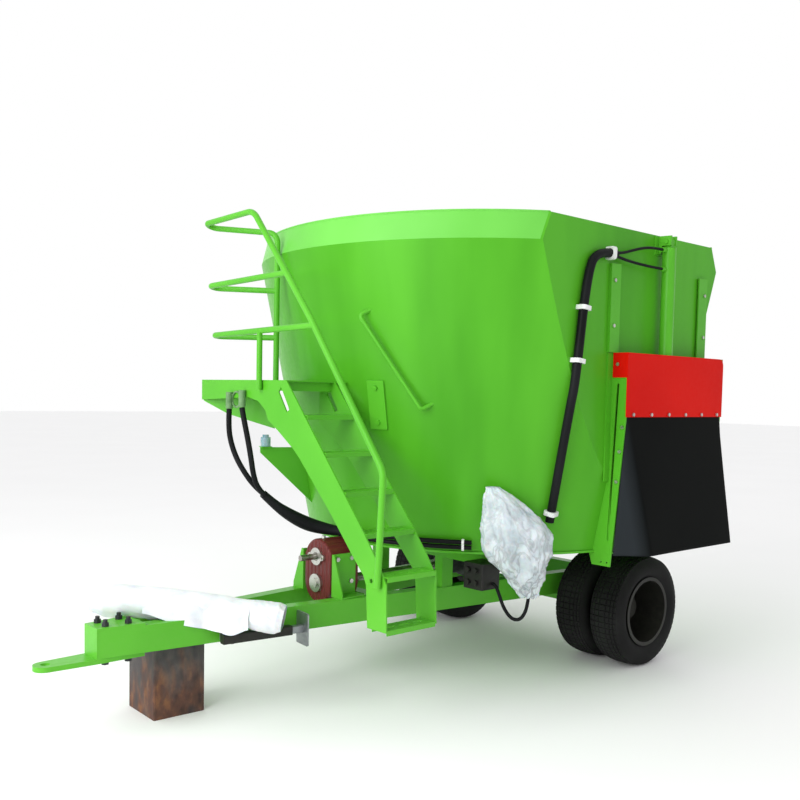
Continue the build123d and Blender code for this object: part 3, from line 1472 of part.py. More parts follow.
# Treads: channels between the stringers, the lower ones slotted
STEP_COUNT = 5
STEPS = [(STEP_LOW_Y + STEP_PITCH * STEP_LEAN * i, STEP_LOW_Z + STEP_PITCH * i) for i in range(STEP_COUNT)]
STEPS.append((STEP_LOW_Y, FOOT_STEP_Z))
SLOT_SPOTS = (0.22, 0.5, 0.78)
with BuildPart() as ladder_steps:
    for y, z in STEPS:
        with BuildSketch(across(LADDER_X + STRINGER_T)):
            with BuildLine():
                Polyline(
                    (y, z),
                    (y + STEP_DEPTH, z),
                    (y + STEP_DEPTH, z - STEP_LIP),
                    (y + STEP_DEPTH - STEP_T, z - STEP_LIP),
                    (y + STEP_DEPTH - STEP_T, z - STEP_T),
                    (y + STEP_T, z - STEP_T),
                    (y + STEP_T, z - STEP_LIP),
                    (y, z - STEP_LIP),
                    close=True,
                )
            make_face()
        extrude(amount=STEP_LEN)
    for y, z in STEPS[:2] + STEPS[-1:]:
        with BuildSketch(level(z - STEP_T - 1)):
            for share in SLOT_SPOTS:
                with Locations((LADDER_X + STRINGER_T + STEP_LEN * share, y + STEP_DEPTH / 2)):
                    SlotOverall(64, 22)
        extrude(amount=STEP_T + 2, mode=Mode.SUBTRACT)
ladder_steps.part.label = "ladder_steps"
export_step(ladder_steps.part, "parts/ladder_steps.step")

# Platform deck, cut round the tub and slanting to the far post
TUB_GAP = 10
with BuildPart() as platform_deck:
    with BuildSketch(level(DECK_Z - DECK_T)):
        with BuildLine():
            Polyline(
                (LADDER_X + STRINGER_T, STRINGER_HEAD[0]),
                (-1180, STRINGER_HEAD[0]),
                (-1180, POST_Y - 10),
                (POST_X - 14, POST_Y - 10),
                (LADDER_X + STRINGER_T, SKIRT_END - 20),
                close=True,
            )
        make_face()
    extrude(amount=DECK_T)
    add(tub_block(TUB_GAP), mode=Mode.SUBTRACT)
platform_deck.part.label = "platform_deck"
export_step(platform_deck.part, "parts/platform_deck.step")

# Under the platform: far gusset on the slanting edge, foot of the far post, two arms to the tub
GUSSET_START = (LADDER_X, SKIRT_END - 8)
GUSSET_END = (POST_X - 8, POST_Y - 2)
with BuildPart() as platform_frame:
    add(
        sheet(
            [
                (GUSSET_START[0], GUSSET_START[1], DECK_Z - DECK_T - GAP),
                (GUSSET_END[0], GUSSET_END[1], DECK_Z - DECK_T - GAP),
                (GUSSET_END[0], GUSSET_END[1], 1500),
                (
                    GUSSET_START[0] + 0.36 * (GUSSET_END[0] - GUSSET_START[0]),
                    GUSSET_START[1] + 0.36 * (GUSSET_END[1] - GUSSET_START[1]),
                    1580,
                ),
                (GUSSET_START[0], GUSSET_START[1], 1661),
            ],
            8,
        )
    )
    for y in (STRINGER_HEAD[0] + 50, POST_Y - 60):
        with BuildSketch(across(LADDER_X + STRINGER_T)):
            with Locations((y, DECK_Z - DECK_T - GAP - 25)):
                Rectangle(50, 50)
        extrude(amount=560)
    add(tub_block(GAP), mode=Mode.SUBTRACT)
    with Locations(at(REAR_X + STRINGER_T / 2, STRINGER_HEAD[0], DECK_Z)):
        Box(STRINGER_T + 2 * GAP, 600, 600, mode=Mode.SUBTRACT)
    with Locations(at(LADDER_X + STRINGER_T - 500, 0, DECK_Z)):
        Box(1000, HUGE, 2000, mode=Mode.SUBTRACT)
platform_frame.part.label = "platform_frame"
export_step(platform_frame.part, "parts/platform_frame.step")

# Handrail: one bent tube up the ladder, round the front and down into the far post
HANDRAIL = [
    (RAIL_X, -1007, 785),
    (RAIL_X, -1035, 1350),
    (RAIL_X, -440, 2100),
    (RAIL_X, 115, 2727),
    (RAIL_X, 752, 2712),
    (POST_X, POST_Y, 2657),
    (POST_X, POST_Y, DECK_Z + GAP),
]
HANDRAIL_BENDS = [110, 300, 120, 45, 60]
with BuildPart() as handrail:
    add(bent_tube(HANDRAIL, HANDRAIL_BENDS, RAIL_TUBE, RAIL_TUBE_WALL))
handrail.part.label = "handrail"
export_step(handrail.part, "parts/handrail.step")

# Middle and lower guard rail, coped to the handrail, and the short post on the skirt
MID_RAIL = [(RAIL_X, -211.5, 2357), (RAIL_X, 690, 2340), (POST_X, POST_Y, 2318)]
LOW_RAIL = [(RAIL_X, -466, 2068), (RAIL_X, 622, 2046), (POST_X, POST_Y, 2041)]
SHORT_POST_Y = 38
SHORT_POST_LOW = DECK_Z - 56
SHORT_POST_HIGH = SHORT_POST_LOW + 323
with BuildPart() as guard_rails:
    add(bent_tube(MID_RAIL, [45], RAIL_TUBE, RAIL_TUBE_WALL))
    add(bent_tube(LOW_RAIL, [45], RAIL_TUBE, RAIL_TUBE_WALL))
    add(
        rod_between(
            (RAIL_X, SHORT_POST_Y, SHORT_POST_LOW),
            (RAIL_X, SHORT_POST_Y, SHORT_POST_HIGH),
            RAIL_TUBE / 2 - 1,
            RAIL_TUBE / 2 - 1,
        )
    )
    add(bent_tube(HANDRAIL, HANDRAIL_BENDS, RAIL_TUBE + 2 * FIT), mode=Mode.SUBTRACT)
guard_rails.part.label = "guard_rails"
export_step(guard_rails.part, "parts/guard_rails.step")

# Bracket plate that stands out of the wall, with a small shelf
BRACKET_ANGLE = 159
SHELF_Z = 1372
SHELF_OFF = 233       # middle of the shelf outside the wall
SHELF_R = tub_radius(SHELF_Z) + SHELF_OFF
BRACKET_FOOT = SHELF_Z - 402
with BuildPart() as bottle_bracket:
    with BuildSketch(radial(BRACKET_ANGLE)):
        with BuildLine():
            Polyline(
                (tub_radius(SHELF_Z) - 40, SHELF_Z),
                (SHELF_R + 34, SHELF_Z),
                (SHELF_R + 34, SHELF_Z - 34),
                (tub_radius(BRACKET_FOOT) - 40, BRACKET_FOOT),
                close=True,
            )
        make_face()
    extrude(amount=4, both=True)
    with BuildSketch(Plane(origin=at(0, 0, SHELF_Z)) * Rot(0, 0, BRACKET_ANGLE)):
        with Locations((SHELF_R, 0)):
            RectangleRounded(72, 72, 8)
    extrude(amount=5)
    add(tub_block(GAP), mode=Mode.SUBTRACT)
bottle_bracket.part.label = "bottle_bracket"
export_step(bottle_bracket.part, "parts/bottle_bracket.step")

# Small oil bottle with a cap
with BuildPart() as oil_bottle:
    with BuildSketch(Plane(origin=at(0, 0, SHELF_Z + 5)) * Rot(0, 0, BRACKET_ANGLE)):
        with Locations((SHELF_R, 0)):
            Circle(31)
    extrude(amount=58)
    with BuildSketch(Plane(origin=at(0, 0, SHELF_Z + 63)) * Rot(0, 0, BRACKET_ANGLE)):
        with Locations((SHELF_R, 0)):
            Circle(20)
    extrude(amount=16)
oil_bottle.part.label = "oil_bottle"
export_step(oil_bottle.part, "parts/oil_bottle.step")

# Pipes round the foot of the tub and the riser to the ram
PIPE_Z = (868, 898)
PIPE_START = 186.5
PIPE_SWEEP = 35
PIPE_OFF = 30
RISER_OFF = RISER_D / 2 + 8
RISER_Y = PANEL_Y + RISER_D / 2 + 2


def wall_spot(angle, z, off):
    """Point beside the tub wall, from the tub axis."""
    reach = tub_radius(z) + off
    return (reach * math.cos(math.radians(angle)), reach * math.sin(math.radians(angle)), z)


RISER = [
    wall_spot(-117.85, 1024, RISER_OFF),
    wall_spot(-116.26, 1680, RISER_OFF + 14),
    (-590, -RISER_Y, 1800),
    (-515, -RISER_Y, 2400),
    (-430, -RISER_Y, 2534),
    (-262, -RISER_Y, 2526),
]
with BuildPart() as tub_hoses:
    with BuildSketch(radial(PIPE_START)):
        with Locations(*[(tub_radius(z) + PIPE_OFF, z) for z in PIPE_Z]):
            Circle(PIPE_D / 2)
    revolve(axis=TUB_AXIS, revolution_arc=PIPE_SWEEP)
    add(hose(RISER, RISER_D))
tub_hoses.part.label = "tub_hoses"
export_step(tub_hoses.part, "parts/tub_hoses.step")

# Loose hoses: two strands from the ring, their sleeve, two to the ram, one hanging loop
PLUG_R = STRAND_D / 2 + 4
PLUG_X = LADDER_X - PLUG_R - GAP
STRAND_A = [
    (PLUG_X, 345, 1615),
    (-1770, 356, 1525),
    (-1764, 346, 1433),
    (-1744, 312, 1330),
    (-1712, 264, 1240),
    (-1662, 236, 1164),
    (-1618, 226, 1125.7),
]
STRAND_B = [
    (PLUG_X, 208, 1625),
    (-1771, 190, 1560),
    (-1761, 163, 1450),
    (-1738, 163, 1340),
    (-1710, 182, 1245),
    (-1675, 191, 1161),
    (-1633, 182.2, 1119.9),
]
SLEEVE = [
    (-1625, 205, 1122),
    (-1556, 190, 1057),
    (-1470, 168, 995),
    (-1368, 128, 935),
    (-1282, 66, 906),
    (-1216, -6, 894),
    (-1188.6, -71, 884.5),
    (-1181.3, -133.4, 883.5),
]
RAM_HOSE_END = DOOR_X - PORT_REACH - GAP
RAM_HOSE_HIGH = [
    (-260.2, -RISER_Y, 2534),
    (-190, -1244, 2542),
    (-110, -1254, 2566),
    (-20, -1265, 2589),
    (70, -1274, PORT_Z[0]),
    (RAM_HOSE_END, -RAM_Y, PORT_Z[0]),
]
RAM_HOSE_LOW = [
    (-260.2, -RISER_Y, 2518),
    (-185, -1244, 2507),
    (-100, -1255, 2497),
    (-10, -1266, 2490),
    (75, -1274, PORT_Z[1]),
    (RAM_HOSE_END, -RAM_Y, PORT_Z[1]),
]
VALVE_ANGLE = -126.5
VALVE_Z = 960
VALVE_OFF = 115       # middle of the valve outside the wall
VALVE_R = tub_radius(VALVE_Z) + VALVE_OFF
VALVE_FOOT = wall_spot(VALVE_ANGLE, VALVE_Z, VALVE_OFF)
OIL_BLOCK = 150       # valve block on the front face of the first beam
OIL_BLOCK_Y = -735
OIL_BLOCK_Z = 692
OIL_BLOCK_X = BEAM_X[0] - BEAM_H / 2 - GAP - OIL_BLOCK / 2
BLOCK_EXIT = (-735, OIL_BLOCK_Y - OIL_BLOCK / 2 - 1.5, 650)
LOOP = [
    (BLOCK_EXIT[0], BLOCK_EXIT[1], BLOCK_EXIT[2]),
    (-735, -838, 648),
    (-738, -872, 588),
    (-732, -902, 520),
    (-714, -943, 468),
    (-692, -986, 466),
    (-675, -1011, 512),
    (-667, -1018, 562),
    (-661, -1020, 605),
    (-668, -1024, 660),
    (-694, -1030, 735),
    (VALVE_FOOT[0] + 36, VALVE_FOOT[1] + 3, 810),
    (VALVE_FOOT[0], VALVE_FOOT[1], 850),
    (VALVE_FOOT[0], VALVE_FOOT[1], VALVE_Z - 60.5),
]
with BuildPart() as loose_hoses:
    add(hose(STRAND_A, STRAND_D))
    add(hose(STRAND_B, STRAND_D))
    for i, radius in enumerate(SLEEVE_R):
        before = Vector(*SLEEVE[max(i - 1, 0)])
        after = Vector(*SLEEVE[min(i + 1, len(SLEEVE) - 1)])
        with BuildSketch(Plane(origin=at(*SLEEVE[i]), z_dir=after - before)):
            Circle(radius)
    loft()
    add(hose(RAM_HOSE_HIGH, RAM_HOSE_D))
    add(hose(RAM_HOSE_LOW, RAM_HOSE_D))
    add(hose(LOOP, LOOP_D))
loose_hoses.part.label = "loose_hoses"
export_step(loose_hoses.part, "parts/loose_hoses.step")


def end_lift(points, diameter):
    """How far a level face must stand above a hose's slanting end to clear it."""
    way = Vector(*points[1]) - Vector(*points[0])
    return GAP + diameter / 2 * math.hypot(way.X, way.Y) / way.length


# Ring under the skirt, plugs of the loose strands and saddles on the tub
RING_R = 44
RING_BAR = 6
SADDLE_T = 24
SADDLES = (
    (RISER[0], RISER[1], 40),
    (RISER[2], RISER[3], 110),
    (RISER[2], RISER[3], 400),
    (RISER[4], RISER[5], 110),
)
with BuildPart() as hose_holders:
    with Locations(Plane(origin=at(LADDER_X - RING_BAR - GAP, 290, 1672), z_dir=(1, 0, 0))):
        Torus(RING_R, RING_BAR)
    for strand in (STRAND_A, STRAND_B):
        with BuildSketch(level(strand[0][2] + end_lift(strand, STRAND_D))):
            with Locations(strand[0][:2]):
                Circle(PLUG_R)
        extrude(amount=96)
    with BuildSketch(radial(PIPE_START + PIPE_SWEEP - 2)):
        for z in PIPE_Z:
            with Locations((tub_radius(z) + PIPE_OFF, z)):
                Circle(PIPE_D / 2 + 6)
        with Locations((tub_radius(PIPE_Z[0]) + 18, (PIPE_Z[0] + PIPE_Z[1]) / 2)):
            Rectangle(30, 40)
        for z in PIPE_Z:
            with Locations((tub_radius(z) + PIPE_OFF, z)):
                Circle(PIPE_D / 2 + GAP, mode=Mode.SUBTRACT)
    extrude(amount=14)
    for start, end, along_by in SADDLES:
        way = Vector(*end) - Vector(*start)
        spot = Vector(*at(*start)) + way.normalized() * along_by
        with BuildSketch(Plane(origin=spot, x_dir=way.cross(Vector(1, 0, 1)), z_dir=way)):
            RectangleRounded(RISER_D + 18, RISER_D + 22, 16)
            Circle(RISER_D / 2 + GAP, mode=Mode.SUBTRACT)
        extrude(amount=SADDLE_T)
    add(tub_inside(PANEL_T + GAP), mode=Mode.SUBTRACT)
hose_holders.part.label = "hose_holders"
export_step(hose_holders.part, "parts/hose_holders.step")

# Valve block with its screwed fittings, on the front face of the first beam
with BuildPart() as valve_block:
    with Locations(at(OIL_BLOCK_X, OIL_BLOCK_Y, OIL_BLOCK_Z)):
        Box(OIL_BLOCK, OIL_BLOCK, OIL_BLOCK)
    chamfer(valve_block.edges().filter_by(Axis.Z), 6)
    with BuildSketch(Plane(origin=at(OIL_BLOCK_X - OIL_BLOCK / 2, OIL_BLOCK_Y, OIL_BLOCK_Z), z_dir=(-1, 0, 0))):
        with GridLocations(70, 60, 2, 2):
            RegularPolygon(17, 6)
    extrude(amount=18)
valve_block.part.label = "valve_block"
export_step(valve_block.part, "parts/valve_block.step")

# Hand valve on the wall, with two levers
with BuildPart() as control_valve:
    with BuildSketch(Plane(origin=at(0, 0, VALVE_Z - 60)) * Rot(0, 0, VALVE_ANGLE)):
        with Locations((VALVE_R, 0)):
            RectangleRounded(90, 150, 8)
    extrude(amount=120)
    with BuildSketch(Plane(origin=at(0, 0, VALVE_Z - 5)) * Rot(0, 0, VALVE_ANGLE)):
        with Locations((VALVE_R - 90, 0)):
            Rectangle(100, 90)
    extrude(amount=10)
    with BuildSketch(Plane(origin=at(0, 0, VALVE_Z + 60)) * Rot(0, 0, VALVE_ANGLE)):
        with Locations((VALVE_R + 6, -66), (VALVE_R + 6, 0)):
            Circle(7)
    extrude(amount=86)
    add(tub_block(GAP), mode=Mode.SUBTRACT)
control_valve.part.label = "control_valve"
export_step(control_valve.part, "parts/control_valve.step")

# Sack tied over the hand valve, open at the foot
SACK_T = 5
SACK = (
    (1226, 57, -160, 66, 54),
    (1120, 86, -95, 235, 140),
    (985, 112, -30, 374, 200),
    (860, 125, -14, 366, 205),
    (735, 120, 32, 224, 168),
    (605, 110, 75, 96, 92),
)


def sack_form(inset, low_reach):
    """Filled form of the sack, drawn in by a wall thickness."""
    with BuildPart() as made:
        for z, off, shift, wide, deep in SACK:
            low = low_reach if z == SACK[-1][0] else 0
            high = inset if z == SACK[0][0] else 0
            with BuildSketch(Plane(origin=at(0, 0, z - low - high)) * Rot(0, 0, VALVE_ANGLE)):
                with Locations((tub_radius(z) + off, shift)):
                    Ellipse(deep / 2 - inset, wide / 2 - inset)
        loft()
    return made.part


with BuildPart() as valve_bag:
    add(sack_form(0, 0))
    add(sack_form(SACK_T, 20), mode=Mode.SUBTRACT)
    with Locations((Plane(origin=at(0, 0, VALVE_Z)) * Rot(0, 0, VALVE_ANGLE)) * Pos(VALVE_R - 90, 0, 0)):
        Box(60, 90 + 2 * GAP, 10 + 2 * GAP, mode=Mode.SUBTRACT)
valve_bag.part.label = "valve_bag"
export_step(valve_bag.part, "parts/valve_bag.step")

# Jack beside the near rail, turned up along it
RAIL_RUN = Vector(1, -RAIL_SPREAD, 0).normalized()
RAIL_OUT = Vector(-RAIL_SPREAD, -1, 0).normalized()
JACK_ORIGIN = Vector(*at(JACK_X, -rail_outer(JACK_X), JACK_Z))
JACK_PIN_R = 20
JACK_PLATE = 10


def jack_out(distance):
    """Plane facing outward from the rail at the jack pivot."""
    return Plane(origin=JACK_ORIGIN + RAIL_OUT * distance, x_dir=RAIL_RUN, z_dir=RAIL_OUT)


def jack_along(distance):
    """Plane square to the jack at a distance behind its pivot."""
    place = JACK_ORIGIN + RAIL_OUT * JACK_OUT + RAIL_RUN * distance
    return Plane(origin=place, x_dir=RAIL_OUT, z_dir=RAIL_RUN)


with BuildPart() as jack_bracket:
    with BuildSketch(jack_out(0)):
        with Locations((0, 35)):
            RectangleRounded(110, 124, 12)
    extrude(amount=JACK_PLATE)
    with BuildSketch(jack_out(JACK_PLATE)):
        Circle(JACK_PIN_R)
    extrude(amount=JACK_OUT - JACK_TUBE / 2 - JACK_PLATE - 2)
    with BuildSketch(jack_out(JACK_PLATE)):
        with Locations((-36, 80), (36, 80)):
            RegularPolygon(13, 6)
    extrude(amount=9)
jack_bracket.part.label = "jack_bracket"
export_step(jack_bracket.part, "parts/jack_bracket.step")

with BuildPart() as jack_tube:
    with BuildSketch(jack_along(-JACK_TAIL)):
        RectangleRounded(JACK_TUBE, JACK_TUBE, 6)
        RectangleRounded(JACK_TUBE - 2 * JACK_WALL, JACK_TUBE - 2 * JACK_WALL, 3, mode=Mode.SUBTRACT)
    extrude(amount=JACK_REACH - 70 + JACK_TAIL)
    with BuildSketch(jack_along(-JACK_TAIL)):
        RectangleRounded(JACK_TUBE, JACK_TUBE, 6)
    extrude(amount=8)
    with BuildSketch(jack_out(JACK_PLATE + GAP)):
        Circle(40)
        Circle(JACK_PIN_R + FIT, mode=Mode.SUBTRACT)
    extrude(amount=JACK_OUT - JACK_TUBE / 2 - JACK_PLATE - GAP)
jack_tube.part.label = "jack_tube"
export_step(jack_tube.part, "parts/jack_tube.step")

LEG = JACK_TUBE - 2 * JACK_WALL - 2 * GAP
with BuildPart() as jack_leg:
    with BuildSketch(jack_along(15 - JACK_TAIL)):
        RectangleRounded(LEG, LEG, 4)
        Rectangle(LEG - 8, LEG - 8, mode=Mode.SUBTRACT)
    extrude(amount=JACK_REACH + JACK_TAIL - 15)
    with BuildSketch(jack_along(JACK_REACH)):
        RectangleRounded(126, 180, 10)
    extrude(amount=9)
jack_leg.part.label = "jack_leg"
export_step(jack_leg.part, "parts/jack_leg.step")

# Joint shaft lying across the rails, its rear yoke hanging over the near rail
def stretch(start, end, more):
    """A point past the end of a run."""
    a = Vector(*start)
    b = Vector(*end)
    far = b + (b - a).normalized() * more
    return (far.X, far.Y, far.Z)


FILM_FRONT = stretch(PTO_BEND, PTO_FRONT, 70)
FILM_BACK = stretch(PTO_BEND, PTO_END, 40)
FILM_KNEE = stretch(PTO_FRONT, PTO_BEND, 12)
FILM_HEEL = stretch(FILM_BACK, PTO_BEND, 12)
FILM_RUN = (Vector(*FILM_KNEE) - Vector(*FILM_FRONT)).length
FILM_LEAD = (Vector(*PTO_FRONT) - Vector(*FILM_FRONT)).length
BELL_R = FILM_FRONT_R - (FILM_FRONT_R - FILM_NECK_R) * FILM_LEAD / FILM_RUN - FILM_T - 2 * GAP
REAR_RUN = (Vector(*FILM_BACK) - Vector(*FILM_HEEL)).length
REAR_LEAD = (Vector(*FILM_BACK) - Vector(*PTO_END)).length
CUP_R = FILM_END_R - (FILM_END_R - FILM_NECK_R - 2) * REAR_LEAD / REAR_RUN - FILM_T - 2 * GAP
with BuildPart() as pto_shaft:
    add(rod_between(PTO_FRONT, stretch(PTO_FRONT, PTO_BEND, -16), BELL_R, PTO_TUBE_R))
    add(rod_between(stretch(PTO_END, PTO_BEND, -16), PTO_END, PTO_TUBE_R, CUP_R))
pto_shaft.part.label = "pto_shaft"
export_step(pto_shaft.part, "parts/pto_shaft.step")


def film_hollow(mouth, bend, mouth_r, bend_r):
    """Space inside one run of the film, open past its mouth."""
    return rod_between(stretch(bend, mouth, 6), bend, mouth_r - FILM_T, bend_r - FILM_T)


with BuildPart() as pto_film:
    add(rod_between(FILM_FRONT, FILM_KNEE, FILM_FRONT_R, FILM_NECK_R))
    add(rod_between(FILM_HEEL, FILM_BACK, FILM_NECK_R + 2, FILM_END_R))
    add(film_hollow(FILM_FRONT, FILM_KNEE, FILM_FRONT_R, FILM_NECK_R), mode=Mode.SUBTRACT)
    add(film_hollow(FILM_BACK, FILM_HEEL, FILM_END_R, FILM_NECK_R + 2), mode=Mode.SUBTRACT)
pto_film.part.label = "pto_film"
export_step(pto_film.part, "parts/pto_film.step")

# Box the drawbar rests on, open below
with BuildPart() as support_block:
    with BuildSketch(Plane(origin=at(BLOCK_X, BLOCK_Y, 0)) * Rot(0, 0, BLOCK_TURN)):
        RectangleRounded(BLOCK_LONG, BLOCK_WIDE, 10)
    extrude(amount=RAIL_LOW - GAP)
    with BuildSketch(Plane(origin=at(BLOCK_X, BLOCK_Y, 0)) * Rot(0, 0, BLOCK_TURN)):
        Rectangle(BLOCK_LONG - 2 * BLOCK_WALL, BLOCK_WIDE - 2 * BLOCK_WALL)
    extrude(amount=RAIL_LOW - GAP - BLOCK_WALL, mode=Mode.SUBTRACT)
support_block.part.label = "support_block"
export_step(support_block.part, "parts/support_block.step")
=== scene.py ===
# %% [markdown]
# # A vertical feed mixer wagon
#
# The wagon is a conical steel tub on a drawbar chassis, with an upright auger inside.
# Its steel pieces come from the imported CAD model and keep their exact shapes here.
# This lesson adds what CAD doesn't draw well: paint, rubber, film, hoses and light.

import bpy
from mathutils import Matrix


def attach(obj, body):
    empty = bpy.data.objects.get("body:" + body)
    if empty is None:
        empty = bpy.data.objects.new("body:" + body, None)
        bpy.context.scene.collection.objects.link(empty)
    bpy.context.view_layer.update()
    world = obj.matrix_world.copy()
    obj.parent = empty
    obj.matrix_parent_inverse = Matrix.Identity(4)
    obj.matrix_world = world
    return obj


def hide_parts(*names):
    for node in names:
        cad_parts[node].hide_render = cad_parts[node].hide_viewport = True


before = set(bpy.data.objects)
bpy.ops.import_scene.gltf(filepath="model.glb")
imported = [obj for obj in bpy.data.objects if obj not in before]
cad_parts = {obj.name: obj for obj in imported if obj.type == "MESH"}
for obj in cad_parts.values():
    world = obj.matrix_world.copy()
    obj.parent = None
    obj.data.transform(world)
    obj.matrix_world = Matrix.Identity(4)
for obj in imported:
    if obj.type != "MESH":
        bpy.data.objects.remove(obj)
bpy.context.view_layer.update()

# %% Tools of the trade
import math

import bmesh
import bpy
from mathutils import Matrix, Vector, noise

print("Blender", bpy.app.version_string)

# %% [markdown]
# ## Places
#
# The tub axis is the natural centre of this machine, so places are given from it in millimetres.
# They could be typed in metres from the frame's origin, but then no number would look like a drawing's.
# One small function turns such a place into metres in the frame that all the tools share.

# %% Places from the tub axis
TUB_AXIS = Vector((0.7765, -0.044, 0.0))
MM = 0.001


def at(x, y, z):
    """A place given in millimetres from the tub axis, as metres in the shared frame."""
    return TUB_AXIS + Vector((x, y, z)) * MM


FLOOR_R = 1148
FLOOR_Z = 828
RIM_R = 1492
RIM_Z = 2540
WALL_SLOPE = (RIM_R - FLOOR_R) / (RIM_Z - FLOOR_Z)


def tub_radius(z):
    """Outer radius of the tub wall at a height, in millimetres."""
    return FLOOR_R + WALL_SLOPE * (z - FLOOR_Z)


def on_wall(angle, z, off):
    """A place that stands off the tub wall, by its angle round the tub and its height."""
    turn = math.radians(angle)
    r = tub_radius(z) + off
    return at(r * math.cos(turn), r * math.sin(turn), z)


print("tub wall leans out", round(math.degrees(math.atan(WALL_SLOPE)), 1), "degrees")

# %% [markdown]
# ## Camera
#
# The camera stands at eye height in front of the drawbar's left corner, as the photographer did.
# Its lens and place were worked out from the ladder, the tub's rings and the drawbar.
# The photograph was cropped above the middle of the lens, so a small upward shift frames it alike.

# %% Camera at the photograph's place
EYE = Vector((-3.9035, -4.434, 1.726))
HEADING = -41.9285
PITCH = 3.522
ROLL = 1.1691
FOCAL_PIXELS = 935.9
IMAGE_PIXELS = 800
LENS_MIDDLE_Y = 450.95


def camera_frame():
    """Right, up and backward directions of the camera from its three angles."""
    heading = math.radians(HEADING)
    pitch = math.radians(PITCH)
    roll = math.radians(ROLL)
    level_way = Vector((-math.sin(heading), math.cos(heading), 0))
    level_right = Vector((level_way.y, -level_way.x, 0))
    sky = Vector((0, 0, 1))
    view_way = level_way * math.cos(pitch) - sky * math.sin(pitch)
    view_up = sky * math.cos(pitch) + level_way * math.sin(pitch)
    right = level_right * math.cos(roll) + view_up * math.sin(roll)
    up = view_up * math.cos(roll) - level_right * math.sin(roll)
    return right, up, -view_way


lens = bpy.data.cameras.new("photo_camera")
lens.sensor_width = 36
lens.lens = FOCAL_PIXELS / IMAGE_PIXELS * lens.sensor_width
lens.shift_y = (LENS_MIDDLE_Y - IMAGE_PIXELS / 2) / IMAGE_PIXELS
camera = bpy.data.objects.new("photo_camera", lens)
bpy.context.collection.objects.link(camera)
right, up, back = camera_frame()
camera.matrix_world = Matrix.Translation(EYE) @ Matrix((right, up, back)).transposed().to_4x4()
bpy.context.scene.camera = camera
print("lens", round(lens.lens, 2), "mm, shift", round(lens.shift_y, 4))

# %% [markdown]
# ## Finishes
#
# Every finish is a small tree of shader nodes that reads Object coordinates, so a pattern has the same
# size on every piece and stays with it when it moves. Pictures could be wrapped round the pieces instead,
# but they need seams and files. A few helpers keep the trees short to read.

# %% Colours and new finishes


def colour(red, green, blue):
    """A colour as screens show it, from 0 to 255, in the linear values that shaders use."""
    shares = [c / 255 for c in (red, green, blue)]
    line = [c / 12.92 if c <= 0.04045 else ((c + 0.055) / 1.055) ** 2.4 for c in shares]
    return (*line, 1.0)


def new_finish(name, rough, metal=0.0, coat=0.0, gloss=0.3):
    """A material with its tree, its shader and the object coordinates to hang patterns on."""
    made = bpy.data.materials.new(name)
    made.use_nodes = True
    tree = made.node_tree
    shader = tree.nodes["Principled BSDF"]
    shader.inputs["Roughness"].default_value = rough
    shader.inputs["Metallic"].default_value = metal
    shader.inputs["Coat Weight"].default_value = coat
    shader.inputs["Coat Roughness"].default_value = 0.15
    shader.inputs["Specular IOR Level"].default_value = gloss
    where = tree.nodes.new("ShaderNodeTexCoord").outputs["Object"]
    return made, tree, shader, where


# %% [markdown]
# A pattern starts as noise and ends as tones. The noise gives a number at each point of the surface, and a
# ramp says which colour that number stands for.

# %% Patterns


def grain(tree, where, scale, detail=4.0, stretch=(1, 1, 1), warp=0.0):
    """Noise from 0 to 1; a stretch over 1 makes it finer along that axis."""
    turn = tree.nodes.new("ShaderNodeMapping")
    turn.inputs["Scale"].default_value = stretch
    cloud = tree.nodes.new("ShaderNodeTexNoise")
    cloud.inputs["Scale"].default_value = scale
    cloud.inputs["Detail"].default_value = detail
    cloud.inputs["Distortion"].default_value = warp
    tree.links.new(where, turn.inputs["Vector"])
    tree.links.new(turn.outputs["Vector"], cloud.inputs["Vector"])
    return cloud.outputs["Fac"]


def tones(tree, value, *stops):
    """A colour ramp over a value; each stop is a share and a colour."""
    ramp = tree.nodes.new("ShaderNodeValToRGB")
    band = ramp.color_ramp
    while len(band.elements) < len(stops):
        band.elements.new(0.5)
    for element, (share, shade) in zip(band.elements, stops):
        element.position = share
        element.color = shade
    tree.links.new(value, ramp.inputs["Fac"])
    return ramp.outputs["Color"]


def spread(tree, value, low, high, out_low, out_high):
    """A value moved from one range to another and kept inside it."""
    made = tree.nodes.new("ShaderNodeMapRange")
    for place, number in (("From Min", low), ("From Max", high), ("To Min", out_low), ("To Max", out_high)):
        made.inputs[place].default_value = number
    tree.links.new(value, made.inputs["Value"])
    return made.outputs["Result"]


# %% [markdown]
# Real finishes lie in layers, such as dust on paint on steel. One helper lays a colour over another, one
# makes small bumps, and one tells how high a point is, because dust and rust gather low down.

# %% Layers and relief


def over(tree, share, below, above):
    """One colour laid over another by a share."""
    made = tree.nodes.new("ShaderNodeMix")
    made.data_type = "RGBA"
    tree.links.new(share, made.inputs["Factor"])
    for place, shade in ((made.inputs[6], below), (made.inputs[7], above)):
        if isinstance(shade, tuple):
            place.default_value = shade
        else:
            tree.links.new(shade, place)
    return made.outputs[2]


def relief(tree, shader, height, depth, reach=0.002):
    """Small bumps from a height pattern."""
    made = tree.nodes.new("ShaderNodeBump")
    made.inputs["Strength"].default_value = depth
    made.inputs["Distance"].default_value = reach
    tree.links.new(height, made.inputs["Height"])
    tree.links.new(made.outputs["Normal"], shader.inputs["Normal"])


def height_share(tree, where, low, high):
    """How far up a point is between two heights, from 0 to 1."""
    split = tree.nodes.new("ShaderNodeSeparateXYZ")
    tree.links.new(where, split.inputs["Vector"])
    return spread(tree, split.outputs["Z"], low, high, 0.0, 1.0)


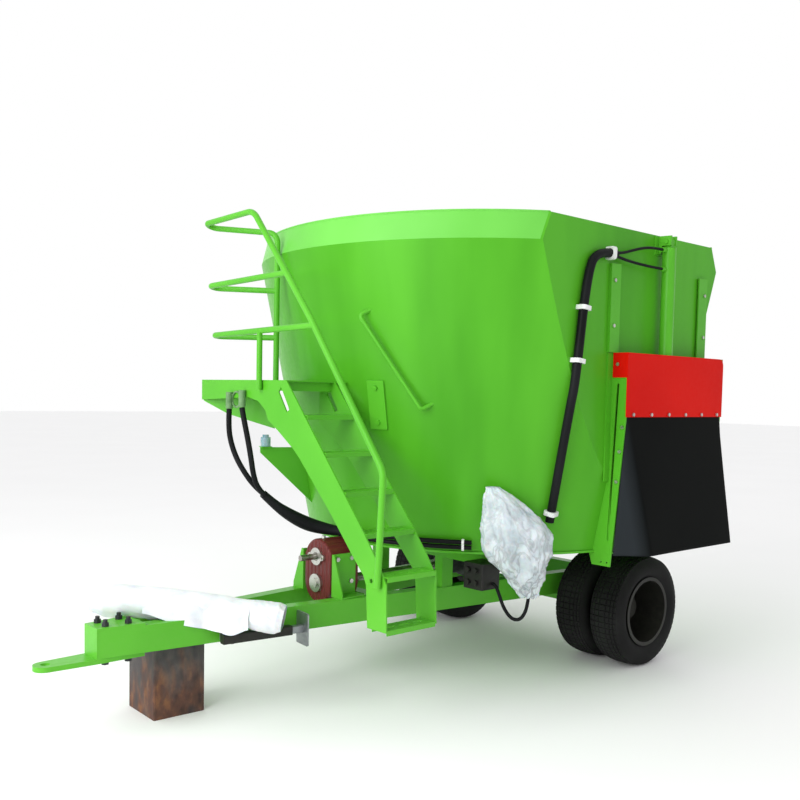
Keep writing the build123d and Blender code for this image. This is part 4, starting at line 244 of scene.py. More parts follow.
# %% [markdown]
# ### Sprayed paint
#
# The steel is sprayed a bright yellow-green. One flat colour would be quicker, but it would look like toy
# plastic: a sprayed coat is a little thicker here and thinner there, it has a fine orange peel, and road
# dust greys it near the ground. So three noises of different sizes make the tone, the dust and the peel.
# The tub is rolled from sheets, and its tones lie in upright bands: random paint tone that is also a painted
# reflection of soft upright bands of light. The tub is a shade deeper than the frame as painted shade.
# The red hood and the black jack are the same kind of paint in other colours.

# %% Paint
DUST = colour(150, 150, 120)
COAT_SCALE = 1.3
DUST_SCALE = 35.0
PEEL_SCALE = 160.0
DUST_LOW = 0.2
DUST_HIGH = 1.1


def sprayed_paint(name, light, deep, rough, coat, dusty, gloss=0.2, stretch=(1, 1, 1)):
    """Gloss paint with uneven thickness, orange peel and some dust low down."""
    made, tree, shader, where = new_finish(name, rough, coat=coat, gloss=gloss)
    cloud = grain(tree, where, COAT_SCALE, 3.0, stretch)
    body = tones(tree, cloud, (0.32, deep), (0.68, light))
    low_down = spread(tree, height_share(tree, where, DUST_LOW, DUST_HIGH), 0.0, 1.0, dusty, 0.0)
    speck = grain(tree, where, DUST_SCALE, 6.0)
    grime = tree.nodes.new("ShaderNodeMath")
    grime.operation = "MULTIPLY"
    tree.links.new(low_down, grime.inputs[0])
    tree.links.new(speck, grime.inputs[1])
    tree.links.new(over(tree, grime.outputs[0], body, DUST), shader.inputs["Base Color"])
    tree.links.new(spread(tree, speck, 0.3, 0.7, rough - 0.06, rough + 0.08), shader.inputs["Roughness"])
    relief(tree, shader, grain(tree, where, PEEL_SCALE, 2.0), 0.10, 0.001)
    return made


green_paint = sprayed_paint("green_paint", colour(90, 180, 44), colour(78, 166, 34), 0.34, 0.06, 0.10)
# Painted reflection: the tub's random tone is stretched into upright bands that stand for soft upright bands
# of light.
UPRIGHT_TONE_AND_REFLECTION = (2.0, 2.0, 0.22)
# Painted shade: the tub is the frame's green, painted a shade deeper.
shaded_tub_paint = sprayed_paint(
    "shaded_tub_paint", colour(84, 173, 37), colour(68, 152, 25), 0.34, 0.06, 0.06, 0.14, UPRIGHT_TONE_AND_REFLECTION
)
# Painted highlight: the rim band is the same green, painted paler where it catches the light.
lit_band_paint = sprayed_paint("lit_band_paint", colour(112, 200, 80), colour(98, 186, 66), 0.34, 0.06, 0.0)
hood_paint = sprayed_paint("hood_paint", colour(214, 20, 8), colour(204, 14, 4), 0.45, 0.0, 0.0, 0.06)
jack_paint = sprayed_paint("jack_paint", colour(34, 34, 35), colour(24, 24, 25), 0.42, 0.05, 0.10)
rim_paint = sprayed_paint("rim_paint", colour(28, 28, 29), colour(18, 18, 19), 0.42, 0.05, 0.08)
gearbox_paint = sprayed_paint("gearbox_paint", colour(116, 44, 42), colour(86, 30, 31), 0.4, 0.1, 0.06)
print("paints:", [m.name for m in bpy.data.materials if m.name.endswith("_paint")])

# %% [markdown]
# The gearbox is a casting with upright cooling ribs on its face. They could be cut into the mesh, but they
# are so shallow that they change how the paint catches light much more than they change the outline, so a
# wave of bumps stands in for them.

# %% Cast ribs
RIB_PITCH = 0.036
tree = gearbox_paint.node_tree
ribs = tree.nodes.new("ShaderNodeTexWave")
ribs.bands_direction = "Y"
ribs.inputs["Scale"].default_value = 2 * math.pi / 20 / RIB_PITCH
ribs.inputs["Distortion"].default_value = 0.4
tree.links.new(tree.nodes.new("ShaderNodeTexCoord").outputs["Object"], ribs.inputs["Vector"])
relief(tree, tree.nodes["Principled BSDF"], ribs.outputs["Fac"], 0.8, 0.012)
print("a rib every", round(RIB_PITCH / MM), "mm")

# %% [markdown]
# ### Bare metal
#
# Bolts are zinc plated, the knives are ground steel, the ram rod is hard chrome and the castings are dull.
# They differ in roughness more than in colour, so one function makes them all, and fine brushing, drawn
# out along the way that the tool went, breaks up their reflections.

# %% Metal


def bare_metal(name, light, deep, rough, brushing, depth):
    """Metal with stretched brushing marks and cloudy tarnish."""
    made, tree, shader, where = new_finish(name, rough, metal=1.0)
    tarnish = grain(tree, where, 9.0, 5.0)
    tree.links.new(tones(tree, tarnish, (0.3, deep), (0.7, light)), shader.inputs["Base Color"])
    marks = grain(tree, where, 60.0, 3.0, brushing)
    tree.links.new(spread(tree, marks, 0.3, 0.7, rough - 0.08, rough + 0.12), shader.inputs["Roughness"])
    relief(tree, shader, marks, depth, 0.001)
    return made


zinc = bare_metal("zinc", colour(214, 214, 208), colour(176, 176, 170), 0.34, (1, 1, 1), 0.10)
ground_steel = bare_metal("ground_steel", colour(176, 174, 168), colour(120, 116, 108), 0.32, (1, 1, 9), 0.15)
chrome = bare_metal("chrome", colour(222, 224, 228), colour(206, 208, 212), 0.12, (1, 1, 12), 0.03)
jack_steel = bare_metal("jack_steel", colour(172, 176, 178), colour(128, 132, 134), 0.46, (6, 1, 1), 0.12)
cast_iron = bare_metal("cast_iron", colour(84, 86, 88), colour(52, 54, 56), 0.62, (1, 1, 1), 0.40)
print("metals:", [m.name for m in (zinc, ground_steel, chrome, jack_steel, cast_iron)])

# %% [markdown]
# ### Rust
#
# The box under the drawbar is a raw offcut of plate. Mill scale is left blue-grey in places, and rust
# has eaten through it from the foot upwards, in patches and runs. Such a skin is often painted by hand as
# a picture; here two noises of different sizes, both drawn out downwards, mix the scale with three browns,
# and the finer one roughens the surface too.

# %% Rusty plate
BOX_TOP = 0.42


def rusty_plate(name):
    """Mill scale with brown and orange rust, heavier towards the ground."""
    made, tree, shader, where = new_finish(name, 0.75, metal=0.0)
    patches = grain(tree, where, 7.0, 8.0, (1, 1, 0.5), 0.6)
    spots = grain(tree, where, 22.0, 9.0, (1, 1, 0.55))
    browns = tones(
        tree,
        spots,
        (0.25, colour(58, 42, 38)),
        (0.5, colour(96, 66, 54)),
        (0.75, colour(142, 98, 66)),
    )
    scale = tones(tree, spots, (0.3, colour(60, 58, 60)), (0.7, colour(94, 88, 86)))
    foot = spread(tree, height_share(tree, where, 0.0, BOX_TOP), 0.0, 1.0, 0.24, -0.14)
    total = tree.nodes.new("ShaderNodeMath")
    tree.links.new(patches, total.inputs[0])
    tree.links.new(foot, total.inputs[1])
    share = spread(tree, total.outputs[0], 0.46, 0.74, 0.0, 1.0)
    tree.links.new(over(tree, share, scale, browns), shader.inputs["Base Color"])
    tree.links.new(spread(tree, spots, 0.3, 0.7, 0.55, 0.9), shader.inputs["Roughness"])
    relief(tree, shader, spots, 0.5, 0.002)
    return made


rust = rusty_plate("rust")
print("rust made")

# %% [markdown]
# ### Rubber and plastic
#
# Hoses, apron and tyres are all black rubber, but none is the same black. The apron has a smooth face
# with a soft sheen, hoses have a fine cloth print, and tyres are dull and dusty. Black hides colour, so
# what tells them apart is mostly their gloss and the size of the moulded grain.

# %% Rubber


def rubber(name, light, deep, rough, scale, stretch, depth, gloss=0.08):
    """Black rubber: a faint bloom on it and a fine moulded grain."""
    made, tree, shader, where = new_finish(name, rough, gloss=gloss)
    bloom = grain(tree, where, 3.5, 5.0)
    tree.links.new(tones(tree, bloom, (0.3, deep), (0.7, light)), shader.inputs["Base Color"])
    print_marks = grain(tree, where, scale, 3.0, stretch)
    tree.links.new(spread(tree, bloom, 0.3, 0.7, rough - 0.07, rough + 0.07), shader.inputs["Roughness"])
    relief(tree, shader, print_marks, depth, 0.001)
    return made


apron_rubber = rubber(
    "apron_rubber", colour(17, 19, 18), colour(12, 14, 13), 0.42, 90.0, (1, 1, 0.3), 0.12, gloss=0.02
)
hose_rubber = rubber("hose_rubber", colour(30, 31, 33), colour(18, 19, 20), 0.45, 420.0, (1, 1, 1), 0.25)
tyre_rubber = rubber("tyre_rubber", colour(42, 42, 42), colour(29, 29, 29), 0.75, 120.0, (1, 1, 1), 0.35)
guard_plastic = rubber("guard_plastic", colour(34, 34, 34), colour(22, 22, 22), 0.5, 200.0, (1, 1, 1), 0.1)
print("rubbers:", [m.name for m in (apron_rubber, hose_rubber, tyre_rubber, guard_plastic)])

# %% [markdown]
# ### Film and clear plastic
#
# The film round the joint shaft, the sack over the valve and the small oil bottle are thin plastic that lets
# some light through. Glass shaders could do that, but they are slow and look wet, so a white surface with a
# little light scattered below it does it, and crinkles in the relief break the light up.

# %% Film and clear plastic


def thin_film(name, light, deep, rough, alpha):
    """White plastic film with cloudy patches and fine crinkles."""
    made, tree, shader, where = new_finish(name, rough)
    clouds = grain(tree, where, 12.0, 5.0)
    tree.links.new(tones(tree, clouds, (0.3, deep), (0.65, light)), shader.inputs["Base Color"])
    shader.inputs["Subsurface Weight"].default_value = 0.25
    shader.inputs["Subsurface Scale"].default_value = 0.02
    shader.inputs["Alpha"].default_value = alpha
    relief(tree, shader, grain(tree, where, 48.0, 6.0, (1, 1, 1), 1.5), 0.35, 0.004)
    return made


wrap_film = thin_film("wrap_film", colour(240, 241, 244), colour(214, 218, 226), 0.3, 1.0)
sack_film = thin_film("sack_film", colour(226, 234, 238), colour(188, 200, 206), 0.26, 0.88)
bottle_plastic = thin_film("bottle_plastic", colour(206, 226, 232), colour(110, 160, 176), 0.15, 0.8)
print("films:", [m.name for m in (wrap_film, sack_film, bottle_plastic)])

# %% [markdown]
# The sack is thinner than the film. Its creases are painted grey as painted shade, more strongly low down
# where it is bunched up. A crease is a narrow band of tone where a warped noise passes its middle value.

# %% Painted shade in the creases of the sack
SACK_BUNCHED = 0.62
SACK_SMOOTH = 1.05
NO_CREASE = (0.0, 0.0, 0.0, 1.0)
FULL_CREASE = (1.0, 1.0, 1.0, 1.0)
tree = sack_film.node_tree
shader = tree.nodes["Principled BSDF"]
where = tree.nodes.new("ShaderNodeTexCoord").outputs["Object"]
lines = grain(tree, where, 11.0, 3.0, (1, 1, 0.6), 1.4)
creases = tones(tree, lines, (0.43, NO_CREASE), (0.5, FULL_CREASE), (0.57, NO_CREASE))
lower_shade_weight = spread(tree, height_share(tree, where, SACK_BUNCHED, SACK_SMOOTH), 0.0, 1.0, 0.85, 0.25)
# Painted shade: the creases are laid grey, more strongly low down.
crease_shade = tree.nodes.new("ShaderNodeMath")
crease_shade.operation = "MULTIPLY"
tree.links.new(creases, crease_shade.inputs[0])
tree.links.new(lower_shade_weight, crease_shade.inputs[1])
plain = shader.inputs["Base Color"].links[0].from_socket
tree.links.new(over(tree, crease_shade.outputs[0], plain, colour(142, 146, 150)), shader.inputs["Base Color"])
print("sack creased")

# %% [markdown]
# ### Hose holders
#
# The straps that hold the hoses are white, and the ring with its plugs under the platform is pale green
# paint over steel. They share one CAD node, so one finish serves both: it looks at how far forward a point
# is and changes there.

# %% Straps and ring
RING_FRONT = -0.92
RING_BACK = -0.90


def holder_finish(name):
    """White straps, and pale green in front of the ladder."""
    made, tree, shader, where = new_finish(name, 0.5)
    split = tree.nodes.new("ShaderNodeSeparateXYZ")
    tree.links.new(where, split.inputs["Vector"])
    front = spread(tree, split.outputs["X"], RING_FRONT, RING_BACK, 1.0, 0.0)
    specks = grain(tree, where, 30.0, 4.0)
    strap = tones(tree, specks, (0.3, colour(208, 210, 208)), (0.7, colour(236, 238, 236)))
    ring = tones(tree, specks, (0.3, colour(84, 122, 76)), (0.7, colour(116, 152, 104)))
    tree.links.new(over(tree, front, strap, ring), shader.inputs["Base Color"])
    return made


holder_paint = holder_finish("holder_paint")
print("holder finish made")

# %% [markdown]
# ## Dress the CAD nodes
#
# A CAD node keeps its shape, so it only needs its finish. The table below names the nodes with a finish of
# their own; every other node is green steel.

# %% Finish of each node
FINISH_NODES = {
    "hood": hood_paint,
    "tub_shell": shaded_tub_paint,
    "discharge_panel": shaded_tub_paint,
    "rim_band": lit_band_paint,
    "gearbox_housing": gearbox_paint,
    "gearbox_fittings": zinc,
    "planetary_gearbox": cast_iron,
    "control_valve": cast_iron,
    "left_hub": rim_paint,
    "right_hub": rim_paint,
    "left_rims": rim_paint,
    "right_rims": rim_paint,
    "left_tyres": tyre_rubber,
    "right_tyres": tyre_rubber,
    "left_wheel_nuts": cast_iron,
    "right_wheel_nuts": cast_iron,
    "hitch_bolts": cast_iron,
    "panel_bolts": zinc,
    "hose_holders": holder_paint,
    "valve_block": jack_paint,
    "auger_knives": ground_steel,
    "drive_shaft": ground_steel,
    "input_shaft": ground_steel,
    "cylinder_rod": chrome,
    "jack_tube": jack_paint,
    "jack_leg": jack_steel,
    "jack_bracket": jack_steel,
    "support_block": rust,
    "oil_bottle": bottle_plastic,
    "apron": apron_rubber,
    "tub_hoses": hose_rubber,
    "loose_hoses": hose_rubber,
    "pto_shaft": guard_plastic,
    "pto_film": wrap_film,
    "valve_bag": sack_film,
}
for name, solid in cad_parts.items():
    solid.data.materials.clear()
    solid.data.materials.append(FINISH_NODES.get(name, green_paint))
print(len(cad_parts), "nodes dressed")

# %% [markdown]
# ## Hoses
#
# A hose is a fixed length of rubber that bends smoothly. A bent mesh tube kinks easily, so its line is a
# NURBS curve past a few points, and a round bevel gives it its thickness. Two strands hang from the ring
# under the platform and go into one sleeve, two short hoses join the riser to the ram, and one loop hangs
# below the tub. Their points are given along the routes that the real hoses take.

# %% Routes of the loose hoses
STRAND_D = 32
SLEEVE_D = 61
RAM_HOSE_D = 16
LOOP_D = 20
STRAND_A = (
    (-1773.3, 345, 1615),
    (-1770, 356, 1525),
    (-1764, 346, 1433),
    (-1744, 312, 1330),
    (-1712, 264, 1240),
    (-1662, 236, 1164),
    (-1618, 226, 1125.7),
)
STRAND_B = (
    (-1773.3, 208, 1625),
    (-1771, 190, 1560),
    (-1761, 163, 1450),
    (-1738, 163, 1340),
    (-1710, 182, 1245),
    (-1675, 191, 1161),
    (-1633, 182.2, 1119.9),
)
SLEEVE = (
    (-1625, 205, 1122),
    (-1556, 190, 1057),
    (-1470, 168, 995),
    (-1368, 128, 935),
    (-1282, 66, 906),
    (-1216, -6, 894),
    (-1188.6, -71, 884.5),
    (-1181.3, -133.4, 883.5),
)
SLEEVE_R = (24, 27, 37, 43, 37, 28, 25, 25)
RAM_HOSE_HIGH = (
    (-260.2, -1243, 2534),
    (-190, -1244, 2542),
    (-110, -1254, 2566),
    (-20, -1265, 2589),
    (70, -1274, 2598),
    (152.7, -1275, 2598),
)
RAM_HOSE_LOW = (
    (-260.2, -1243, 2518),
    (-185, -1244, 2507),
    (-100, -1255, 2497),
    (-10, -1266, 2490),
    (75, -1274, 2486),
    (152.7, -1275, 2486),
)
LOOP = (
    (-735, -811.5, 650),
    (-735, -838, 648),
    (-738, -872, 588),
    (-732, -902, 520),
    (-714, -943, 468),
    (-692, -986, 466),
    (-675, -1011, 512),
    (-667, -1018, 562),
    (-661, -1020, 605),
    (-668, -1024, 660),
    (-694, -1030, 735),
    (-731, -1033.6, 810),
    (-767, -1036.6, 850),
    (-767, -1036.6, 899.5),
)
ROUTES = (STRAND_A, STRAND_B, SLEEVE, RAM_HOSE_HIGH, RAM_HOSE_LOW, LOOP)
print("routes with", [len(route) for route in ROUTES], "points")

# %% A hose from its points


def hose_line(name, places, diameter):
    """A round curve that runs smoothly past its control points."""
    line = bpy.data.curves.new(name, "CURVE")
    line.dimensions = "3D"
    line.bevel_depth = diameter / 2 * MM
    line.bevel_resolution = 6
    line.resolution_u = 10
    line.use_fill_caps = True
    spline = line.splines.new("NURBS")
    spline.points.add(len(places) - 1)
    for point, place in zip(spline.points, places):
        point.co = (*place, 1)
    spline.order_u = 3
    spline.use_endpoint_u = True
    line.materials.append(hose_rubber)
    made = bpy.data.objects.new(name, line)
    bpy.context.collection.objects.link(made)
    return made


def fit_hose(made, node):
    """Put a hose on the chassis in place of the hoses of a CAD node."""
    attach(made, "chassis")
    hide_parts(node)


# %% [markdown]
# A hose that hangs free also prints its real length. The lengths
# are in metres, along the hose from one fitting to the other.

# %% Loose hoses


def loose_hose(name, route, diameter, length):
    """A free hose, with its real length printed."""
    places = [at(*p) for p in route]
    made = hose_line(name, places, diameter)
    fit_hose(made, "loose_hoses")
    print(name, length, "m")


loose_hose("strand_a", STRAND_A, STRAND_D, 0.555)
loose_hose("strand_b", STRAND_B, STRAND_D, 0.544)
loose_hose("ram_hose_high", RAM_HOSE_HIGH, RAM_HOSE_D, 0.421)
loose_hose("ram_hose_low", RAM_HOSE_LOW, RAM_HOSE_D, 0.416)
loose_hose("hose_loop", LOOP, LOOP_D, 0.741)

# %% [markdown]
# The sleeve holds both strands and swells in the middle. Its curve gets a radius at each point and is then
# turned into a mesh; the same curve without thickness gives the line that the sleeve follows.


def curve_mesh(curve):
    """Mesh of a curve as it stands."""
    bpy.context.view_layer.update()
    return bpy.data.meshes.new_from_object(curve.evaluated_get(bpy.context.evaluated_depsgraph_get()))


sleeve_places = [at(*p) for p in SLEEVE]
sleeve_line = hose_line("sleeve_line", sleeve_places, SLEEVE_D)
for point, radius in zip(sleeve_line.data.splines[0].points, SLEEVE_R):
    point.radius = radius / (SLEEVE_D / 2)
sleeve_mesh = curve_mesh(sleeve_line)
sleeve_line.data.bevel_depth = 0
sleeve_middle = [v.co.copy() for v in curve_mesh(sleeve_line).vertices]
bpy.data.objects.remove(sleeve_line)
sleeve = bpy.data.objects.new("hose_sleeve", sleeve_mesh)
bpy.context.collection.objects.link(sleeve)
fit_hose(sleeve, "loose_hoses")

# %% [markdown]
# The pipes round the foot of the tub and the riser are clamped to the steel all the way, so they aren't
# free cords. They are curves all the same: two arcs, and one line up the flat side to the ram.

# %% Clamped hoses
PIPE_D = 26
PIPE_HEIGHTS = (868, 898)
PIPE_OFF = 30
PIPE_START = 186.5
PIPE_SWEEP = 35
PIPE_POINTS = 12
RISER_D = 50
RISER = (
    (-570.1, -1079, 1024),
    (-604.5, -1225.2, 1680),
    (-590, -1243, 1800),
    (-515, -1243, 2400),
    (-430, -1243, 2534),
    (-262, -1243, 2526),
)
for name, height in zip(("tub_pipe_low", "tub_pipe_high"), PIPE_HEIGHTS):
    shares = [i / (PIPE_POINTS - 1) for i in range(PIPE_POINTS)]
    arc = [on_wall(PIPE_START + PIPE_SWEEP * s, height, PIPE_OFF) for s in shares]
    fit_hose(hose_line(name, arc, PIPE_D), "tub_hoses")
fit_hose(hose_line("riser_hose", [at(*p) for p in RISER], RISER_D), "tub_hoses")
print("clamped hoses made")

# %% [markdown]
# ## Soft shapes
#
# Rubber sheet, film and sack are soft: they sag, crease and wrinkle. A cloth simulation could drop them,
# but their folds are known, so each starts as a flat grid of faces, as the real piece starts as a flat
# sheet, and a function then says where each point of the sheet lies.
# A sheet that is wrapped round something keeps its seam, on the side that is turned away.

# %% Helper for soft sheets


def soft_sheet(name, across, down, form, finish):
    """A grid laid out by form(u, v), which gives a place for two shares from 0 to 1."""
    cloth = bmesh.new()
    bmesh.ops.create_grid(cloth, x_segments=across, y_segments=down, size=0.5)
    for vert in cloth.verts:
        vert.co = form(vert.co.x + 0.5, vert.co.y + 0.5)
    bmesh.ops.recalc_face_normals(cloth, faces=cloth.faces)
    for face in cloth.faces:
        face.smooth = True
    mesh = bpy.data.meshes.new(name)
    cloth.to_mesh(mesh)
    cloth.free()
    mesh.materials.append(finish)
    made = bpy.data.objects.new(name, mesh)
    bpy.context.collection.objects.link(made)
    return made


def between(rows, share):
    """Values of a table of rows at a share of its length, on smooth curves through the rows."""
    place = min(max(share, 0.0), 1.0) * (len(rows) - 1)
    step = min(int(place), len(rows) - 2)
    t = place - step
    near = rows[max(step - 1, 0)], rows[step], rows[step + 1], rows[min(step + 2, len(rows) - 1)]
    return [
        b + 0.5 * t * (c - a + t * (2 * a - 5 * b + 4 * c - d + t * (3 * (b - c) + d - a)))
        for a, b, c, d in zip(*near)
    ]


def wave(place, scale, seed):
    """Smooth noise from -1 to 1 at a place, finer at a larger scale."""
    return noise.noise(Vector(place) * scale + Vector((seed, 0.0, 0.0)))


# %% [markdown]
# ## Apron
#
# The apron is a sheet of conveyor rubber bolted under the door frame. It hangs outward over the chute and
# its left side folds back along a slanting crease. Thick rubber can't fold sharply. A bevel could round the
# crease, but the crease fades out upwards, so the section is averaged over a width that grows from nothing
# to about 5 cm at the foot. The free foot waves a little.

# %% Hanging rubber sheet
APRON_TOP = 1657
APRON_BEND = 1618
APRON_DROP = 796
APRON_FOOT = 823
APRON_LEFT = -218
APRON_RIGHT = 783
APRON_THICK = 8
FACE_OUT = 1324.7
FACE_LEAN = 79.3
EDGE_OUT = 1323
EDGE_TUCK = 65.3
CREASE_RUN = 158
CREASE_SOFT = 26
FLARE_TOP = 1500
FLARE_SLOPE = 48 / 658
RIPPLE = 3.5


def apron_section(t, run):
    """A point of the sheet at a drop t from 0 to 1, by its run in millimetres from the left edge."""
    face = -(FACE_OUT + FACE_LEAN * t)
    edge = Vector((APRON_LEFT, -(EDGE_OUT - EDGE_TUCK * t)))
    crease = Vector((APRON_LEFT + CREASE_RUN * t, face))
    fold = (crease - edge).length
    if run < fold:
        return edge.lerp(crease, max(run, 0) / fold)
    return Vector((crease.x + run - fold, face))


def apron_form(u, v):
    """Place of a point of the rubber, from its left edge to its right and from its top to its foot."""
    z = APRON_TOP + (APRON_FOOT - APRON_TOP) * v
    t = max(0.0, (APRON_BEND - z) / APRON_DROP)
    fold = math.hypot(CREASE_RUN * t, FACE_OUT - EDGE_OUT + (FACE_LEAN + EDGE_TUCK) * t)
    right = APRON_RIGHT + FLARE_SLOPE * max(0.0, FLARE_TOP - z)
    run = u * (right - APRON_LEFT - CREASE_RUN * t + fold)
    soft = CREASE_SOFT * t
    spots = [apron_section(t, run + soft * k / 2) for k in (-2, -1, 0, 1, 2)]
    spot = sum(spots, Vector((0, 0))) / 5 if soft < run else apron_section(t, run)
    ripple = t * RIPPLE * (1 + math.sin(5.2 * u + 1.9 * t + 0.6))
    return at(spot.x, spot.y - ripple, z)


apron = soft_sheet("apron_sheet", 90, 60, apron_form, apron_rubber)
thick = apron.modifiers.new("rubber", "SOLIDIFY")
thick.thickness = APRON_THICK * MM
thick.offset = -1.0
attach(apron, "chassis")
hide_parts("apron")
print("apron made")

# %% [markdown]
# The folded side is painted paler, as a painted sheen where the light falls on it. The crease slants, so the
# tone follows a slanted
# measure: how far right a point is, plus a share of its height. That sum is the same all along the crease.

# %% Painted sheen on the apron's fold
CREASE_SLANT = CREASE_RUN / APRON_DROP
CREASE_PLACE = TUB_AXIS.x + (APRON_LEFT + CREASE_SLANT * APRON_BEND) * MM
tree = apron_rubber.node_tree
shader = tree.nodes["Principled BSDF"]
slanted = tree.nodes.new("ShaderNodeVectorMath")
slanted.operation = "DOT_PRODUCT"
slanted.inputs[1].default_value = (1, 0, CREASE_SLANT)
tree.links.new(tree.nodes.new("ShaderNodeTexCoord").outputs["Object"], slanted.inputs[0])
# Painted sheen: the folded side is laid paler where the light falls on it.
painted_sheen = spread(tree, slanted.outputs["Value"], CREASE_PLACE - 0.06, CREASE_PLACE + 0.02, 1.0, 0.0)
plain = shader.inputs["Base Color"].links[0].from_socket
tree.links.new(over(tree, painted_sheen, plain, colour(43, 47, 50)), shader.inputs["Base Color"])
print("apron rubbed along its crease")

# %% [markdown]
# ## Film round the joint shaft
#
# The drive shaft was delivered in stretch film and laid over the near rail. The film is a tube: narrow
# where it lies on the rail, fuller towards both mouths, and gathered into long folds that run with it.
# Each ring of the tube stands square to its line, and folds are noise stretched along the shaft. The seam
# stays open on the far side below, where nobody looks.

# %% Wrapped film
FILM_LINE = ((-2656, 229, 629), (-2382, 36, 607), (-2096, -166, 586), (-1985, -270, 558), (-1873, -376, 529))
FILM_HIGH_LOW = ((78, 78), (84, 84), (84, 84), (74, 55), (60, 46), (58, 60), (64, 88), (74, 88), (80, 80))
FILM_SEAM = math.radians(215)
FILM_TIGHT = 0.45
FILM_FOLDS = 9
FILM_SLACK = 3
FRONT_MOUTH = 20
REAR_MOUTH = 14
MOUTH_SHARE = 0.05


def film_line(v):
    """Middle of the film at a share of its length, and the ways to its side and its top."""
    rows = len(FILM_LINE) - 1
    step = min(int(v * rows), rows - 1)
    a, b = Vector(FILM_LINE[step]), Vector(FILM_LINE[step + 1])
    way = (b - a).normalized()
    side = way.cross(Vector((0, 0, 1))).normalized()
    return a.lerp(b, v * rows - step), side, side.cross(way)


def film_form(u, v):
    """Place of a point of the film, once round the shaft and then along it."""
    middle, side, top = film_line(v)
    turn = 2 * math.pi * u + FILM_SEAM
    out = side * math.cos(turn) + top * math.sin(turn)
    high, low = between(FILM_HIGH_LOW, v)
    share = (1 + math.sin(turn)) / 2
    radius = low + (high - low) * share
    loose = min(1.0, max(0.0, (abs(v - FILM_TIGHT) - 0.12) * 5))
    folds = 0.55 * wave(out + Vector((0, 0, 2.2 * v)), 2.6, 3.1)
    folds += 0.35 * wave(out + Vector((0, 0, 5.0 * v)), 5.5, 8.4)
    mouth = FRONT_MOUTH * max(0.0, 1 - v / MOUTH_SHARE) + REAR_MOUTH * max(0.0, 1 - (1 - v) / MOUTH_SHARE)
    return at(*(middle + out * (radius + loose * (FILM_FOLDS * folds + FILM_SLACK) - mouth - 1.0)))


film = soft_sheet("shaft_film", 72, 150, film_form, wrap_film)
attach(film, "joint_shaft")
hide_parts("pto_film")
print("film made")

# %% [markdown]
# Spare film hangs from the tube over the near rail's edge. It is one more sheet: it starts on the tube,
# bows over to the edge of the rail and drops down the rail's outer face to a wavy hem.

# %% Fold that hangs over the rail
FOLD_FROM = 0.20
FOLD_TO = 0.72
FOLD_DROP = ((575,), (520,), (474,), (462,), (486,))
FOLD_BULGE = ((0,), (0,), (72,), (102,), (84,))
FOLD_BEND = 0.6
RAIL_TOP = 549
RAIL_NOSE = -2750
NOSE_HALF = 84
RAIL_SPREAD = 0.1253
RAIL_SKEW = 0.888


def rail_face(x):
    """How far the outer face of the near rail stands from the middle of the drawbar, at a place along it."""
    return NOSE_HALF + RAIL_SPREAD * (x - RAIL_NOSE)


def fold_form(u, v):
    """Place of a point of the spare film, from the tube down to the hem and then along the shaft."""
    share = FOLD_FROM + (FOLD_TO - FOLD_FROM) * v
    middle, side, top = film_line(share)
    high, low = between(FILM_HIGH_LOW, share)
    spill = min(1.0, v / 0.5)
    spill = spill * spill * (3 - 2 * spill)
    snug = low * 0.92 + 4
    reach = (middle.y + rail_face(middle.x)) / RAIL_SKEW
    reach = max(snug + max(0.0, reach - snug) * spill, between(FOLD_BULGE, v)[0])
    start = middle + (side * 0.3 + top * 0.95) * (high - 3)
    bow = middle + side * reach * 0.85 + top * high * 0.7
    edge = middle + side * (reach + 3)
    edge.z += (RAIL_TOP - edge.z) * spill
    hem = middle + side * (reach + 6 + 4 * math.sin(11 * v))
    hem.z = min(between(FOLD_DROP, v)[0], edge.z - 6)
    if u < FOLD_BEND:
        w = u / FOLD_BEND
        return at(*(start.lerp(bow, w).lerp(bow.lerp(edge, w), w)))
    return at(*edge.lerp(hem, (u - FOLD_BEND) / (1 - FOLD_BEND)))


fold = soft_sheet("film_fold", 30, 48, fold_form, wrap_film)
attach(fold, "joint_shaft")
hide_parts("pto_film")
print("fold made")

# %% [markdown]
# ## Sack over the valve
#
# A clear sack is tied over the hand valve to keep rain out. It is gathered at its neck, swells over the
# valve and hangs to a loose corner. Its rings are ellipses of changing size, and creases run down from the
# neck. The points of a noise where it changes sign make sharp folds, as thin plastic has. The sheet is left
# open at the foot, and its hem is uneven as on a torn sack.

# %% Clear sack
SACK_TURN = math.radians(-126.5)
SACK_ROWS = (
    (1226, 57, -160, 66, 54),
    (1120, 86, -95, 235, 140),
    (985, 112, -30, 374, 200),
    (860, 125, -14, 366, 205),
    (735, 120, 32, 224, 168),
    (605, 110, 75, 96, 92),
)
SACK_PLEATS = 10
SACK_CRUMPLES = 22
SACK_BUNCHING = 14
SACK_HEM = 16


def crumpled(spot):
    """Sharp ridges and hollows of three sizes, as in thin plastic."""
    large = 0.4 - abs(wave(spot, 7.0, 2.0))
    middling = 0.4 - abs(wave(spot, 16.0, 7.0))
    small = 0.4 - abs(wave(spot, 34.0, 11.0))
    return large + 0.5 * middling + 0.3 * small


